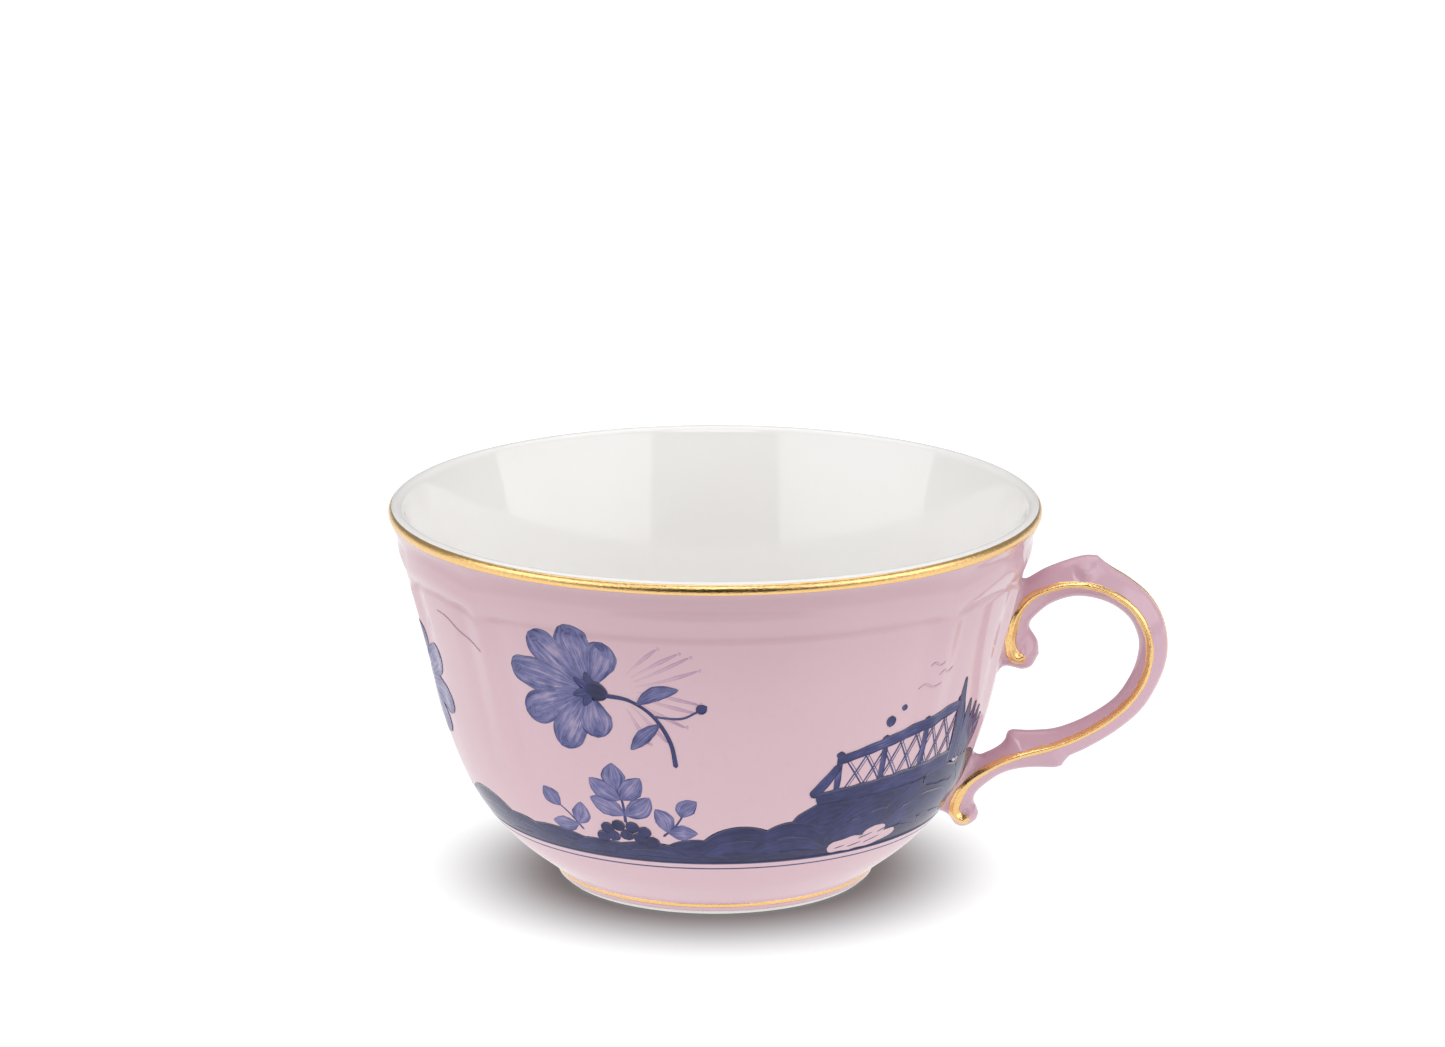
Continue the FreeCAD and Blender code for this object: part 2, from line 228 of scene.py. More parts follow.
# ---------------------------------------------------------------- looks
class Look:
    """A node material: a principled shader and short calls for what feeds it."""

    def __init__(self, name):
        self.material = bpy.data.materials.new(name)
        self.material.use_nodes = True
        self.tree = self.material.node_tree
        self.shader = self.tree.nodes["Principled BSDF"]
        self.place = self.tree.nodes.new("ShaderNodeTexCoord").outputs["Object"]

    def node(self, kind, values=None, **settings):
        made = self.tree.nodes.new(kind)
        for key, setting in settings.items():
            setattr(made, key, setting)
        for key, entry in (values or {}).items():
            if isinstance(entry, bpy.types.NodeSocket):
                self.tree.links.new(entry, made.inputs[key])
            else:
                made.inputs[key].default_value = entry
        return made

    def feed(self, **sockets):
        for name, entry in sockets.items():
            socket = self.shader.inputs[name.replace("_", " ")]
            if isinstance(entry, bpy.types.NodeSocket):
                self.tree.links.new(entry, socket)
            else:
                socket.default_value = entry

    def noise(self, scale, detail=2.0, place=None, roughness=0.5):
        values = {"Vector": place or self.place, "Scale": scale, "Detail": detail, "Roughness": roughness}
        return self.node("ShaderNodeTexNoise", values).outputs["Fac"]

    def spread(self, fac, low, high, from_low=0.3, from_high=0.7):
        values = {"Value": fac, "From Min": from_low, "From Max": from_high, "To Min": low, "To Max": high}
        return self.node("ShaderNodeMapRange", values).outputs["Result"]

    def mix(self, fac, first, second):
        made = self.node("ShaderNodeMix", data_type="RGBA")
        for index, entry in ((0, fac), (6, first), (7, second)):
            if isinstance(entry, bpy.types.NodeSocket):
                self.tree.links.new(entry, made.inputs[index])
            else:
                made.inputs[index].default_value = entry
        return made.outputs[2]

    def maths(self, operation, first, second):
        return self.node("ShaderNodeMath", {0: first, 1: second}, operation=operation).outputs[0]

    def bump(self, height, strength, distance_mm):
        values = {"Height": height, "Strength": strength, "Distance": distance_mm * MM}
        self.feed(Normal=self.node("ShaderNodeBump", values).outputs["Normal"])


def rgb(red, green, blue):
    return (red, green, blue, 1.0)


PER_MM = 1000.0  # noise cycles are given per millimetre, and object coordinates are metres


def pink_look(name, thin, thick):
    """Rose glaze: darker where the pool attribute is high, which holds glaze pooled in hollows and painted
    shade under the rim and down by the foot, and paler where it runs thin.
    """
    look = Look(name)
    # pool: glaze pooled in hollows, plus painted shade under the rim and down by the foot
    pool = look.node("ShaderNodeAttribute", attribute_name="pool").outputs["Fac"]
    pooling = look.noise(0.035 * PER_MM, 3)
    flecks = look.noise(0.9 * PER_MM, 2)
    drift = look.spread(pooling, -0.12, 0.12)
    base = look.mix(look.maths("ADD", pool, drift), rgb(*thin), rgb(*thick))
    base = look.mix(look.spread(flecks, 0.0, 0.12, 0.55, 0.75), base, rgb(*thick))
    look.feed(Base_Color=base, Roughness=look.spread(look.noise(0.25 * PER_MM, 3), 0.05, 0.11))
    look.feed(Specular_IOR_Level=0.45)
    look.bump(look.noise(0.12 * PER_MM, 2), 0.10, 0.12)
    return look.material


def white_look():
    look = Look("white_glaze")
    warmth = look.noise(0.03 * PER_MM, 2)
    base = look.mix(look.spread(warmth, 0, 1), rgb(0.925, 0.905, 0.885), rgb(0.945, 0.935, 0.92))
    look.feed(Base_Color=base)
    look.feed(Roughness=look.spread(look.noise(0.3 * PER_MM, 3), 0.04, 0.09), Specular_IOR_Level=0.55)
    look.bump(look.noise(0.08 * PER_MM, 2), 0.10, 0.15)
    return look.material


def biscuit_look():
    """Bare porcelain on the ring that the cup stands on."""
    look = Look("bare_porcelain")
    grain = look.noise(3.0 * PER_MM, 4)
    look.feed(Base_Color=look.mix(look.spread(grain, 0, 1), rgb(0.80, 0.77, 0.73), rgb(0.88, 0.86, 0.83)))
    look.feed(Roughness=look.spread(grain, 0.45, 0.7))
    look.bump(grain, 0.25, 0.05)
    return look.material


def gold_look():
    """Bright burnished gilding, brushed on by hand: fine ripples and a worn mottle."""
    look = Look("gilding")
    mottle = look.noise(2.6 * PER_MM, 6, roughness=0.7)
    wear = look.noise(0.5 * PER_MM, 4)
    base = look.mix(look.spread(mottle, 0, 1), rgb(0.93, 0.55, 0.20), rgb(1.0, 0.72, 0.34))
    look.feed(Base_Color=base, Metallic=1.0)
    look.feed(Roughness=look.spread(wear, 0.08, 0.24))
    look.bump(mottle, 0.8, 0.07)
    return look.material


def ink_look(name, stops):
    """Brushed enamel under the glaze: streaks along each stroke, pooled towards its edges."""
    look = Look(name)
    stroke = look.node("ShaderNodeAttribute", attribute_name="brush").outputs["Vector"]
    parts = look.node("ShaderNodeSeparateXYZ", {"Vector": stroke}).outputs
    ink = look.node("ShaderNodeAttribute", attribute_name="ink").outputs["Fac"]
    along = look.maths("MULTIPLY", parts["X"], 0.35)
    across = look.maths("MULTIPLY", parts["Y"], 5.0)
    seed = look.maths("MULTIPLY", parts["Z"], 17.0)
    bristles = look.node("ShaderNodeCombineXYZ", {"X": along, "Y": across, "Z": seed}).outputs[0]
    streak = look.spread(look.noise(1.0, 4, bristles, 0.6), -0.2, 0.2, 0.32, 0.68)
    pool = look.maths("POWER", look.maths("ABSOLUTE", parts["Y"], 0.0), 5.0)
    wash = look.spread(look.noise(0.55 * PER_MM, 2), -0.10, 0.10)
    share = look.maths("ADD", look.maths("ADD", streak, wash), look.maths("MULTIPLY", pool, 0.28))
    loose = look.spread(ink, 0.85, 0.42, 0.4, 0.9)
    amount = look.maths("ADD", ink, look.maths("MULTIPLY", share, loose))
    ramp = look.node("ShaderNodeValToRGB", {"Fac": amount})
    spots = ramp.color_ramp.elements
    while len(spots) < len(stops):
        spots.new(0.5)
    for spot, (place, shade) in zip(spots, stops):
        spot.position = place
        spot.color = rgb(*shade)
    look.feed(Base_Color=ramp.outputs["Color"], Roughness=look.spread(streak, 0.05, 0.12, -0.2, 0.2))
    look.feed(Specular_IOR_Level=0.45)
    look.bump(look.noise(0.12 * PER_MM, 2), 0.10, 0.12)
    return look.material


def line_look():
    """The same blue drawn with a liner: denser and paler along its length."""
    look = Look("blue_line")
    load = look.spread(look.noise(0.18 * PER_MM, 3), 0, 1)
    look.feed(Base_Color=look.mix(load, rgb(0.035, 0.042, 0.13), rgb(0.07, 0.078, 0.22)))
    look.feed(Roughness=look.spread(load, 0.05, 0.12, 0, 1), Specular_IOR_Level=0.55)
    look.bump(load, 0.2, 0.02)
    return look.material


ROSE_TONE = (0.78, 0.57, 0.63)
BLUE_STOPS = [
    (0.0, ROSE_TONE), (0.25, (0.46, 0.37, 0.53)), (0.5, (0.185, 0.18, 0.385)),
    (0.75, (0.043, 0.049, 0.185)), (1.0, (0.014, 0.016, 0.070)),
]
MAUVE_STOPS = [(0.0, ROSE_TONE), (0.5, (0.66, 0.44, 0.55)), (1.0, (0.45, 0.25, 0.42))]

PINK = pink_look("rose_glaze", (0.765, 0.540, 0.602), (0.675, 0.44, 0.50))
# A darker copy of the rose glaze for the handle: painted shade.
SHADED_HANDLE_PINK = pink_look("rose_glaze_shaded_handle", (0.70, 0.455, 0.54), (0.60, 0.36, 0.45))
WHITE = white_look()
BISCUIT = biscuit_look()
GOLD = gold_look()
BLUE = ink_look("blue_enamel", BLUE_STOPS)
BLUE_LINE = line_look()
MAUVE = ink_look("mauve_enamel", MAUVE_STOPS)

# ---------------------------------------------------------------- bowl
LIP_MIDDLE_R = LINE[-1, 0] - WALL / 2 * math.cos(math.radians(LINE[-1, 2]))
LIP_MIDDLE_Z = LINE[-1, 1] - WALL / 2 * math.sin(math.radians(LINE[-1, 2]))


def lip_round(first, last, steps, out=0.0):
    """Stations round the lip's half circle, between two normal angles."""
    angles = np.linspace(first, last, steps)
    turn = np.radians(angles)
    reach = WALL / 2 + out
    return np.column_stack(
        [LIP_MIDDLE_R + reach * np.cos(turn), LIP_MIDDLE_Z + reach * np.sin(turn), angles, 0 * angles]
    )


def inner_line(depth):
    """Stations of the inside from the lip down to the middle of the floor."""
    top = LINE[LINE[:, 1] > knee_height() - 0.01][::-1]
    knee = top[-1]
    slope = math.radians(knee[2])
    inside = (knee[0] - WALL * math.cos(slope), knee[1] - WALL * math.sin(slope), knee[2])
    floor = arc_points(inside, FLOOR_BEND, -90.0, 60)
    middle = np.array([[r, floor[-1, 1], -90.0] for r in np.linspace(floor[-1, 0], 0, 14)[1:]])
    return np.concatenate(
        [with_depth(top, depth), with_depth(np.concatenate([floor, middle]), depth - WALL)]
    )


def knee_height():
    bend, angle, _ = WALL_ARCS[0]
    return arc_points(CREASE, bend, angle, 1)[0, 1]


def mark_pooling_and_shade(piece, angle, z):
    """Where the rose glaze is darkened: in hollows, where the glaze gathers thicker, and as painted shade
    under the rim and down by the foot.
    """
    hollow = np.clip(-moulding_at(angle, np.clip(z, LINE[0, 1], LINE[-1, 1])) / 0.2, 0, 1)
    # The hollow term is glaze pooling; the bands under the rim and down by the foot are painted shade.
    pool = 0.45 * hollow + 0.25 * smooth_step(z, 37, 48) + 0.4 * smooth_step(-z, -13, -6)
    marks = piece.data.attributes.new("pool", "FLOAT", "POINT")
    marks.data.foreach_set("value", np.clip(pool, 0, 1).astype(np.float32))


def build_coat():
    hidden = LINE[::-6]
    outline = np.concatenate([with_depth(LINE, 0.0), with_depth(hidden, GLAZE)])
    moulded = np.concatenate([np.ones(len(LINE)), np.zeros(len(hidden))])
    coat = lathe("pink_coat", outline, moulded, PINK, ["pink_glaze"])
    spots = np.empty(len(coat.data.vertices) * 3)
    coat.data.vertices.foreach_get("co", spots)
    x, y, z = (spots.reshape(-1, 3) / MM).T
    mark_pooling_and_shade(coat, np.degrees(np.arctan2(x, -y)), z)
    return coat


def build_lining():
    lip_angle = LINE[-1, 2]
    over = lip_round(lip_angle, lip_angle + 180, 25)
    inside = inner_line(WALL)
    under = inner_line(WALL - GLAZE)[::-1]
    under_lip = lip_round(lip_angle + 180, lip_angle, 25, -GLAZE)
    outline = np.concatenate([over, inside[1:], under[:-1], under_lip])
    return lathe("white_lining", outline, np.zeros(len(outline)), WHITE, ["white_glaze"])


# The underside, from the middle of the cup's recess over the foot ring to its outer edge.
UNDERSIDE = (
    (0.0, 2.4), (17.6, 2.4), (18.8, 2.3), (19.5, 1.9), (20.1, 0.7), (20.5, 0.2), (21.1, 0.0), (22.3, 0.0),
    (22.9, 0.15), (23.3, 0.45),
)


def build_foot_and_body():
    """The clay body: its turned foot ring shows underneath."""
    ring = np.array([(radius, height, -90.0, 0.0) for radius, height in UNDERSIDE])
    outside = with_depth(LINE, GLAZE)
    under_lip = lip_round(LINE[-1, 2], LINE[-1, 2] + 180, 25, -GLAZE)
    inside = inner_line(WALL - GLAZE)
    outline = np.concatenate([ring, outside, under_lip[1:], inside[1:]])
    pieces = ["porcelain_body", "handle_joint_upper", "handle_joint_lower"]
    return lathe("clay_body", outline, np.zeros(len(outline)), BISCUIT, pieces)


# ---------------------------------------------------------------- gilding and line on the bowl
def wavy(angle, seed, depth):
    """A hand-painted edge: a few slow waves that close up round the cup."""
    turn = np.radians(angle)
    chance = np.random.default_rng(seed)
    waves = sum(
        chance.normal(0, 1) * np.sin(count * turn + chance.uniform(0, 6.28)) / count**0.5
        for count in (5, 11, 17, 29, 43, 71, 97)
    )
    return depth * waves / 2


def ring_band(name, low, high, rows, lift, look, slot, replaced, edge=(0.05, 1)):
    """A painted ring between two heights of the outer line, with uneven edges."""
    share = np.linspace(0, 1, rows)[:, None]
    bottom = low + wavy(ANGLES, edge[1], edge[0])
    top = high + wavy(ANGLES, edge[1] + 1, edge[0])
    z = bottom + (top - bottom) * share
    crown = lift * (1 - np.abs(2 * share - 1) ** 4) + 0.004
    outer = on_wall(ANGLES[None, :], z, crown)
    inner = on_wall(ANGLES[None, :], z, -0.05)[::-1]
    points = np.concatenate([outer, inner]).reshape(-1, 3)
    piece = add_piece(name, points, grid_faces(2 * rows, TURNS, True, True), look, replaced)
    return weld(piece, FINE_WELD)


GOLD_LIFT = 0.035
FINE_WELD = 0.0005
RIM_GOLD_LOW_Z, RIM_GOLD_TOP_ANGLE = 55.45, 50.0
FOOT_GOLD_Z = (1.45, 2.08)


def build_rim_gilding():
    """Gold over the outer side of the rounded lip and a little way down the wall."""
    lip_angle = LINE[-1, 2]
    wall_rows = 5
    z = RIM_GOLD_LOW_Z + wavy(ANGLES, 3, 0.06)
    share = np.linspace(0, 1, wall_rows)[:, None]
    wall_z = z + (LINE[-1, 1] - z) * share
    wall = on_wall(ANGLES[None, :], wall_z, GOLD_LIFT * np.minimum(1, share * 3) + 0.003)
    edge = RIM_GOLD_TOP_ANGLE + wavy(ANGLES, 5, 2.2)
    share = np.linspace(0, 1, 18)[1:, None]
    angle = np.radians(lip_angle + (edge - lip_angle) * share)
    reach = WALL / 2 + GOLD_LIFT * np.minimum(1, (1 - share) * 4) + 0.003
    turn = np.radians(ANGLES)[None, :]

    def on_lip(reach):
        radius = LIP_MIDDLE_R + reach * np.cos(angle)
        height = LIP_MIDDLE_Z + reach * np.sin(angle)
        return np.stack([radius * np.sin(turn), -radius * np.cos(turn), height], axis=-1)

    back_lip = on_lip(WALL / 2 - 0.05)[::-1]
    back_wall = on_wall(ANGLES[None, :], wall_z, -0.05)[::-1]
    rings = np.concatenate([wall, on_lip(reach), back_lip, back_wall])
    faces = grid_faces(len(rings), TURNS, True, True)
    piece = add_piece("rim_gold", rings.reshape(-1, 3), faces, GOLD, ["rim_gilding"])
    return weld(piece, FINE_WELD)


# ---------------------------------------------------------------- handle
# Outlines in the handle's middle plane, as runs of (x, z) points. Runs meet at corners.
CROWN = [(41.5, 42.6), (46.0, 45.0), (49.2, 46.9), (52.8, 48.3), (55.2, 48.9), (56.9, 48.85)]
BACK = [
    (56.9, 48.85), (57.9, 48.0), (59.1, 47.1), (61.5, 45.6), (64.5, 43.1), (66.5, 40.0), (67.5, 36.5),
    (67.5, 32.8), (66.3, 28.9), (63.8, 24.6), (60.0, 21.2), (56.0, 18.7), (53.2, 17.35),
]
OUTER_SPUR = [(53.2, 17.35), (52.5, 16.6), (52.0, 15.8)]
TAIL = [
    (52.0, 15.8), (50.8, 15.5), (48.2, 15.55), (45.4, 15.3), (42.9, 14.5), (40.8, 13.1), (39.3, 11.7),
    (38.9, 10.7), (39.3, 9.8), (39.7, 8.6),
]
LOWER_CURL = [(39.7, 8.6), (39.2, 7.3), (37.6, 6.3), (36.2, 6.6), (34.9, 8.2), (32.5, 9.4), (30.0, 10.0)]
LOWER_ROOT = [(30.0, 10.0), (34.0, 19.0)]
UPPER_ROOT = [(39.5, 32.3), (41.5, 42.6)]
UPPER_CURL = [(39.5, 32.3), (43.0, 32.0), (44.5, 31.7), (45.9, 31.4), (47.4, 31.9), (48.4, 33.6)]
INSIDE = [
    (48.4, 33.6), (48.2, 35.3), (47.2, 37.0), (46.95, 38.1), (47.6, 39.4), (50.2, 41.6), (54.0, 42.7),
    (58.3, 41.8), (61.6, 39.4), (63.2, 36.0), (63.1, 32.8), (61.9, 29.5), (59.5, 26.1), (55.4, 23.3),
    (51.2, 21.6), (47.5, 21.2), (44.6, 21.3),
]
INNER_SPUR = [
    (44.6, 21.3), (43.8, 20.9), (43.4, 19.8), (42.5, 18.8), (40.7, 17.8), (39.0, 17.5), (34.0, 19.0),
]
# The sharp ridge along each side, which the gold line follows from scroll to scroll.
RIDGE = [
    (46.2, 33.9), (45.2, 33.4), (44.4, 34.0), (44.0, 35.6), (44.1, 37.4), (45.0, 40.3), (46.6, 42.6),
    (48.9, 43.9), (52.3, 44.8), (56.3, 44.5), (59.9, 42.9), (62.6, 40.6), (64.3, 37.4), (64.8, 34.2),
    (64.2, 30.7), (62.4, 27.4), (59.3, 24.3), (55.2, 21.7), (51.0, 19.9), (46.8, 18.7), (43.5, 17.6),
    (40.6, 16.1), (38.3, 14.5), (36.6, 12.4), (35.9, 10.3), (36.1, 8.9), (37.1, 8.2), (38.0, 8.8),
]
SCROLLS = (((46.2, 33.9), 3.6), ((37.9, 8.4), 3.2))  # middles and how far their roundness reaches
HALF_WIDE = 3.3
EDGE_SHARE = 0.36
ROUND_EDGE = 1.0
WALL_FILLET = 1.8
SEEN_FROM_ABOVE = 0.27
THUMB_X, THUMB_Z = 55.1, 46.5  # middle of the thumb rest's swelling
THUMB_RADII = (1.35, 2.95, 1.3)
THUMB_BLEND = 0.9
ROOT_GAP = 0.012  # how far under the wall's surface the fillet runs out
ROOT_DEPTH = 0.9  # how deep in the wall the handle's own ends stop


def smooth_run(points, steps=10):
    """A smooth curve through a run of points."""
    points = np.array(points, float)
    if len(points) < 3:
        share = np.linspace(0, 1, steps)[:, None]
        return points[0] + (points[1] - points[0]) * share
    padded = np.vstack([2 * points[0] - points[1], points, 2 * points[-1] - points[-2]])
    out = []
    for a, b, c, d in zip(padded, padded[1:], padded[2:], padded[3:]):
        t = np.linspace(0, 1, steps, endpoint=False)[:, None]
        bend = 2 * b + (c - a) * t + (2 * a - 5 * b + 4 * c - d) * t**2
        out.append((bend + (3 * b - a - 3 * c + d) * t**3) / 2)
    return np.vstack(out + [points[-1:]])


def nearest_on(line, grid):
    """Distance from each grid point to a curve, and which side of it: 1 is left."""
    best = np.full(len(grid), np.inf)
    side = np.ones(len(grid))
    for start, end in zip(line[:-1], line[1:]):
        along = end - start
        length = max(along @ along, 1e-12)
        share = np.clip(((grid - start) @ along) / length, 0, 1)
        gap = grid - start - share[:, None] * along
        distance = np.hypot(gap[:, 0], gap[:, 1])
        closer = distance < best
        best = np.where(closer, distance, best)
        side = np.where(closer, np.sign(along[0] * gap[:, 1] - along[1] * gap[:, 0] + 1e-9), side)
    return best, side


def inside_outline(loop, grid):
    """Which grid points a closed outline holds."""
    held = np.zeros(len(grid), bool)
    for start, end in zip(loop, np.roll(loop, -1, axis=0)):
        if start[1] == end[1]:
            continue
        spans = (start[1] > grid[:, 1]) != (end[1] > grid[:, 1])
        cross = start[0] + (grid[:, 1] - start[1]) * (end[0] - start[0]) / (end[1] - start[1])
        held ^= spans & (grid[:, 0] < cross)
    return held


def blend_in(first, second, width):
    """Smooth union of two distance fields."""
    share = np.clip(0.5 + 0.5 * (second - first) / width, 0, 1)
    return second * (1 - share) + first * share - width * share * (1 - share)


def cut_round(first, second, width):
    """Smooth intersection of two distance fields."""
    return -blend_in(-first, -second, width)


STEP = 0.2
FIELD_LOW = np.array([29.0, -5.4, 4.6])
FIELD_HIGH = np.array([69.4, 5.4, 51.0])


def trimmed(runs):
    """Curves of the runs, with the height that the handle's thickness adds taken off."""
    curves = []
    for run in runs:
        curve = smooth_run(run)
        way = np.gradient(curve, axis=0)
        upward = -way[:, 0] / np.maximum(np.hypot(way[:, 0], way[:, 1]), 1e-9)
        curves.append(curve + np.stack([0 * upward, SEEN_FROM_ABOVE * upward], axis=1))
    return curves


def handle_field():
    """Distance field of the handle with its fillets into the wall, negative inside."""
    axes = [np.arange(low, high, STEP) for low, high in zip(FIELD_LOW, FIELD_HIGH)]
    flat_x, flat_z = np.meshgrid(axes[0], axes[2], indexing="ij")
    grid = np.stack([flat_x.ravel(), flat_z.ravel()], axis=1)
    crown, back, spur, tail, lower_curl = trimmed([CROWN, BACK, OUTER_SPUR, TAIL, LOWER_CURL])
    upper_curl, inside, inner_spur = trimmed([UPPER_CURL, INSIDE, INNER_SPUR])
    roots = smooth_run(LOWER_ROOT), smooth_run(UPPER_ROOT)
    outer_set = [crown, back, spur, tail, upper_curl, roots[1]]
    inner_set = [inside, inner_spur, lower_curl, roots[0]]
    to_outer = np.min([nearest_on(curve, grid)[0] for curve in outer_set], axis=0)
    to_inner = np.min([nearest_on(curve, grid)[0] for curve in inner_set], axis=0)
    forward = [crown, back, spur, tail, lower_curl, roots[0]]
    loop = np.vstack(forward + [curve[::-1] for curve in (inner_spur, inside, upper_curl)])
    depth = np.minimum(to_outer, to_inner) * np.where(inside_outline(loop, grid), 1, -1)
    to_ridge, side = nearest_on(smooth_run(RIDGE), grid)
    to_edge = np.where(side > 0, to_outer, to_inner)
    in_scroll = 0
    for middle, reach in SCROLLS:
        away = np.hypot(grid[:, 0] - middle[0], grid[:, 1] - middle[1])
        in_scroll = np.maximum(in_scroll, smooth_step(-away, -reach, -0.6 * reach))
    to_edge = to_edge + (np.minimum(to_outer, to_inner) - to_edge) * in_scroll
    across = np.maximum(to_edge + to_ridge, 0.8)
    half_wide = HALF_WIDE * (EDGE_SHARE + (1 - EDGE_SHARE) * to_edge / across)
    steep = 1 / np.sqrt(1 + (HALF_WIDE * (1 - EDGE_SHARE) / across) ** 2)

    def deep(values):
        return values.reshape(len(axes[0]), 1, len(axes[2]))

    y = axes[1][None, :, None]
    bevels = (np.abs(y) - deep(half_wide)) * deep(steep)
    handle = cut_round(deep(-depth), bevels, ROUND_EDGE)
    x, z = axes[0][:, None, None], axes[2][None, None, :]
    long, wide, tall = THUMB_RADII
    thumb = np.sqrt(((x - THUMB_X) / long) ** 2 + (y / wide) ** 2 + ((z - THUMB_Z) / tall) ** 2)
    handle = blend_in(handle, (thumb - 1) * long, THUMB_BLEND)
    radius = np.sqrt(x**2 + y**2)
    wall = (radius - radius_at(z)) * np.cos(slope_at(z)) + ROOT_GAP
    joined = blend_in(handle, wall, WALL_FILLET)
    joined = np.maximum(joined, handle - WALL_FILLET)
    return np.maximum(joined, -(wall + ROOT_DEPTH))


def sample(field, points):
    """The field's value between its grid points."""
    place = (points - FIELD_LOW) / STEP
    corner = np.clip(np.floor(place).astype(int), 0, np.array(field.shape) - 2)
    share = place - corner
    total = 0
    for i in (0, 1):
        for j in (0, 1):
            for k in (0, 1):
                weight = np.abs(1 - i - share[:, 0]) * np.abs(1 - j - share[:, 1])
                weight = weight * np.abs(1 - k - share[:, 2])
                total = total + weight * field[corner[:, 0] + i, corner[:, 1] + j, corner[:, 2] + k]
    return total


def uphill(field, points, reach=0.15):
    """The field's gradient at points."""
    steps = np.eye(3) * reach
    rises = [sample(field, points + step) - sample(field, points - step) for step in steps]
    return np.stack(rises, axis=1) / (2 * reach)


def surface_net(field):
    """Points and quads of the surface where the field is zero."""
    shape = np.array(field.shape)
    cells = tuple(shape - 1)
    held = field < 0
    total = np.zeros(cells + (3,))
    count = np.zeros(cells)
    corners = [(i, j, k) for i in (0, 1) for j in (0, 1) for k in (0, 1)]

    def corner_of(array, corner):
        return array[tuple(slice(c, c + n) for c, n in zip(corner, cells))]

    for first in corners:
        for axis in range(3):
            if first[axis]:
                continue
            second = tuple(c + (i == axis) for i, c in enumerate(first))
            a, b = corner_of(field, first), corner_of(field, second)
            crossing = corner_of(held, first) != corner_of(held, second)
            share = np.where(crossing, a / np.where(crossing, a - b, 1), 0)
            for i in range(3):
                total[..., i] += np.where(crossing, first[i] + (share if i == axis else 0), 0)
            count += crossing
    used = count > 0
    number = np.full(cells, -1)
    number[used] = np.arange(used.sum())
    points = np.stack(np.nonzero(used), axis=1) + total[used] / count[used][:, None]
    quads = []
    for axis in range(3):
        others = [i for i in range(3) if i != axis]
        low, high = [slice(1, n - 1) for n in shape], [slice(1, n - 1) for n in shape]
        low[axis], high[axis] = slice(0, shape[axis] - 1), slice(1, shape[axis])
        start, end = held[tuple(low)], held[tuple(high)]
        spots = np.stack(np.nonzero(start != end), axis=1)
        outward = start[tuple(spots.T)]
        base = spots + [0 if i == axis else 1 for i in range(3)]
        around = []
        for step in ((0, 0), (1, 0), (1, 1), (0, 1)):
            cell = base.copy()
            cell[:, others[0]] -= step[0]
            cell[:, others[1]] -= step[1]
            around.append(number[tuple(cell.T)])
        around = np.stack(around, axis=1)
        flip = outward if axis != 1 else ~outward
        around[flip] = around[flip][:, ::-1]
        quads.append(around)
    return FIELD_LOW + points * STEP, np.vstack(quads)


def settle(field, points, rounds=3):
    """Move points along the gradient on to the zero surface."""
    for _ in range(rounds):
        slope = uphill(field, points)
        size = np.maximum((slope**2).sum(1), 0.05)
        points = points - (sample(field, points) / size)[:, None] * slope
    return points


FIELD = handle_field()


def build_handle():
    points, quads = surface_net(FIELD)
    points = settle(FIELD, points)
    piece = add_piece("scroll_handle", points, quads, SHADED_HANDLE_PINK, ["handle"])
    return weld(piece, 0.001)


# ---------------------------------------------------------------- handle gilding
def first_skin(field, outside, way, lift, reach):
    """Where rays from outside points first come within a lift of the field's surface."""
    near, far = np.zeros(len(outside)), np.full(len(outside), reach)
    for _ in range(22):
        middle = (near + far) / 2
        clear = sample(field, outside + way * middle[:, None]) > lift
        near, far = np.where(clear, middle, near), np.where(clear, far, middle)
    return outside + way * near[:, None]


def evenly(path, gap):
    """The same curve with points at an even spacing."""
    run = np.concatenate([[0], np.cumsum(np.hypot(*np.diff(path, axis=0).T))])
    steps = np.linspace(0, run[-1], max(int(run[-1] / gap), 6))
    return np.stack([np.interp(steps, run, path[:, i]) for i in range(2)], axis=1), steps


def capped(widths, steps):
    """Half widths along a stroke, with round ends."""
    wide = np.interp(steps / steps[-1], np.linspace(0, 1, len(widths)), widths)
    to_end = np.minimum(steps, steps[-1] - steps)
    return wide * np.sqrt(np.clip(1 - (1 - np.minimum(to_end / np.maximum(wide, 1e-6), 1)) ** 2, 0, 1)) + 1e-4


def slab_faces(rows, columns):
    """Faces of a thin closed slab: a top grid, a bottom grid and the sides between."""
    top = grid_faces(rows, columns, False, False)
    bottom = top[:, ::-1] + rows * columns
    rim = [i * columns for i in range(rows)]
    rim += [(rows - 1) * columns + j for j in range(1, columns)]
    rim += [i * columns + columns - 1 for i in range(rows - 2, -1, -1)]
    rim += list(range(columns - 2, 0, -1))
    rim = np.array(rim)
    beside = np.roll(rim, -1)
    sides = np.stack([beside, rim, rim + rows * columns, beside + rows * columns], axis=1)
    return np.vstack([top, bottom, sides])


ACROSS = np.linspace(-1, 1, 9)
STROKE_GAP = 0.22  # between the points along a brushed line
GOLD_EDGE = 0.004
SUNK = -0.06
SIDE_REACH = 5.3
SPINE_CLEAR, SPINE_REACH = 1.5, 3.2  # from the outline, and how far inward to look for the surface
SPINE_FROM = 14  # the point of the back's curve just past the thumb rest
GOLD_HALF_WIDTHS = [0.95, 0.9, 0.62, *[0.56] * 10, 0.58, 0.66, 0.85, 0.95]
SPINE_HALF_WIDTHS = [0.3, 0.5, 0.62, 0.62, 0.6, 0.6, 0.55, 0.45, 0.3]


